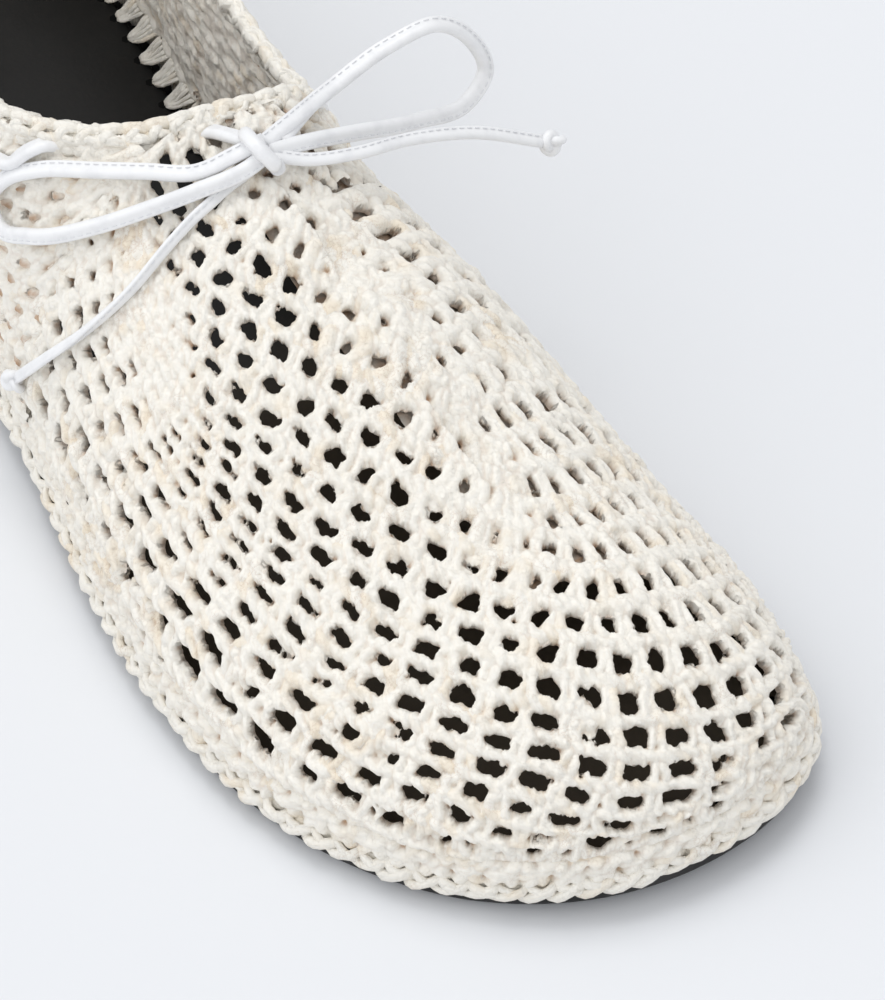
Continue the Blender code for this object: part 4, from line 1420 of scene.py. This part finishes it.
def drawstringPath():
    # round the collar, in and out of the stitches, from the inner side to the outer
    place = np.arange(0, rim["length"], 1.0)
    at, normal = onRim(np.full(len(place), lace["depth"]), place / collarRoll["fit"])
    inside = at[:, 1] < lace["front"]
    start = np.argmax(inside & ~np.roll(inside, 1))
    order = (np.arange(len(place)) + start) % len(place)
    order = order[inside[order]]
    wave = 0.5 + 0.5 * np.cos(2 * np.pi * np.arange(len(order)) / lace["waveLength"] + 0.6)
    wave = wave * wave * (3 - 2 * wave)
    path = at[order] + normal[order] * (lace["waveIn"] + (lace["waveOut"] - lace["waveIn"]) * wave)[:, None]
    return path[::-1] if path[0, 0] > path[-1, 0] else path


def makeLace():
    string = drawstringPath()
    string = string[(string[:, 0] < 0) | (string[:, 1] < lace["nearFront"])]
    path = smoothPath(np.vstack([lace["entry"], string[4::6], lace["leave"]]), 1.2)
    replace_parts(addLace("drawstringLace", path, (0.1, 0.15, 1.0), 0.95), "drawstring")
    print("drawstring lace is", round(runAlong(path)[-1]), "mm")
    cords = {}
    for key in ("loop_left", "loop_right", "end_left", "end_right"):
        path = smoothPath(bow[key], 0.9)
        flip = -1.0 if key in ("loop_left", "end_left") else 1.0
        size = bow["ends"] if key.startswith("end") else 1.0
        up = bow["edgeOn"] if key == "end_left" else lace["up"]
        item = addLace("bow_" + key + "_lace", path, up, size, flip)
        sewing = addSewing("bow_" + key + "_sewing", path, up, size, flip)
        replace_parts(item, "bow_" + key)
        cords[key] = (item, path, [sewing])
    for side in ("left", "right"):
        line = np.array(bow["end_" + side])
        ahead = unit(line[-1] - line[-2])
        knot = endKnot("end_knot_" + side + "_lace", line[-1] + ahead * bow["endKnot"]["past"], ahead)
        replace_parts(knot, "end_knot_" + side)
        cords["end_" + side][2].append(knot)
    # the knot of the bow: a band over the crossing strands
    turn = np.linspace(0, 2 * np.pi, 33)[:-1]
    band = np.stack([0.9 + 1.5 * np.sin(turn), 3.3 * np.cos(turn) - 0.3, 2.5 * np.sin(turn) - 0.2], 1)
    knot = addLace("bow_knot_band", np.array(bow["knot"]) + band, bow["knotUp"], bow["knotScale"])
    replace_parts(knot, "bow_knot")
    for key, (item, path, extra) in cords.items():
        length = float(runAlong(path)[-1]) * mm
        tuple(toFrame(path[0]))
        toFrame(path).tolist()
        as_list(extra)
        print("lace", key, "is", round(length / mm), "mm")


makeLace()

studio = {
    "floor": (0.775, 0.79, 0.816, 1),
    "floorRoughness": 0.9,
    "floorGloss": 0.1,
    "floorReach": 3,  # metres
    "world": (0.97, 0.98, 1.0, 1),
    "worldStrength": 0.66,
    "lamps": {  # power, degrees across, where it comes from
        "softKey": (0.75, 28.0, (-0.2, -0.4, 1.2)),
        "nearFill": (0.6, 120.0, (0.65, 0.5, 1.0)),
        "collarFill": (0.5, 60.0, (1.0, -0.5, 0.9)),
    },
}


def makeStudio():
    scene = bpy.context.scene
    scene.view_settings.view_transform = "Standard"
    world = bpy.data.worlds.new("studioWorld")
    scene.world = world
    world.use_nodes = True
    shade = world.node_tree.nodes["Background"]
    shade.inputs["Color"].default_value = studio["world"]
    shade.inputs["Strength"].default_value = studio["worldStrength"]
    mesh = bpy.data.meshes.new("floor")
    r = studio["floorReach"]
    mesh.from_pydata([(-r, -r, 0), (r, -r, 0), (r, r, 0), (-r, r, 0)], [], [(0, 1, 2, 3)])
    made, tree, shader = newMaterial("floorPaper")
    shader["Base Color"].default_value = studio["floor"]
    shader["Roughness"].default_value = studio["floorRoughness"]
    shader["Specular IOR Level"].default_value = studio["floorGloss"]
    mesh.materials.append(made)
    floor = bpy.data.objects.new("floor", mesh)
    bpy.context.collection.objects.link(floor)
    for name, (power, softness, place) in studio["lamps"].items():
        light = bpy.data.lights.new(name, "SUN")
        light.energy = power
        light.angle = np.radians(softness)
        sun = bpy.data.objects.new(name, light)
        sun.rotation_euler = (-Vector(place)).to_track_quat("-Z", "Y").to_euler()
        bpy.context.collection.objects.link(sun)


makeStudio()
bpy.context.view_layer.update()
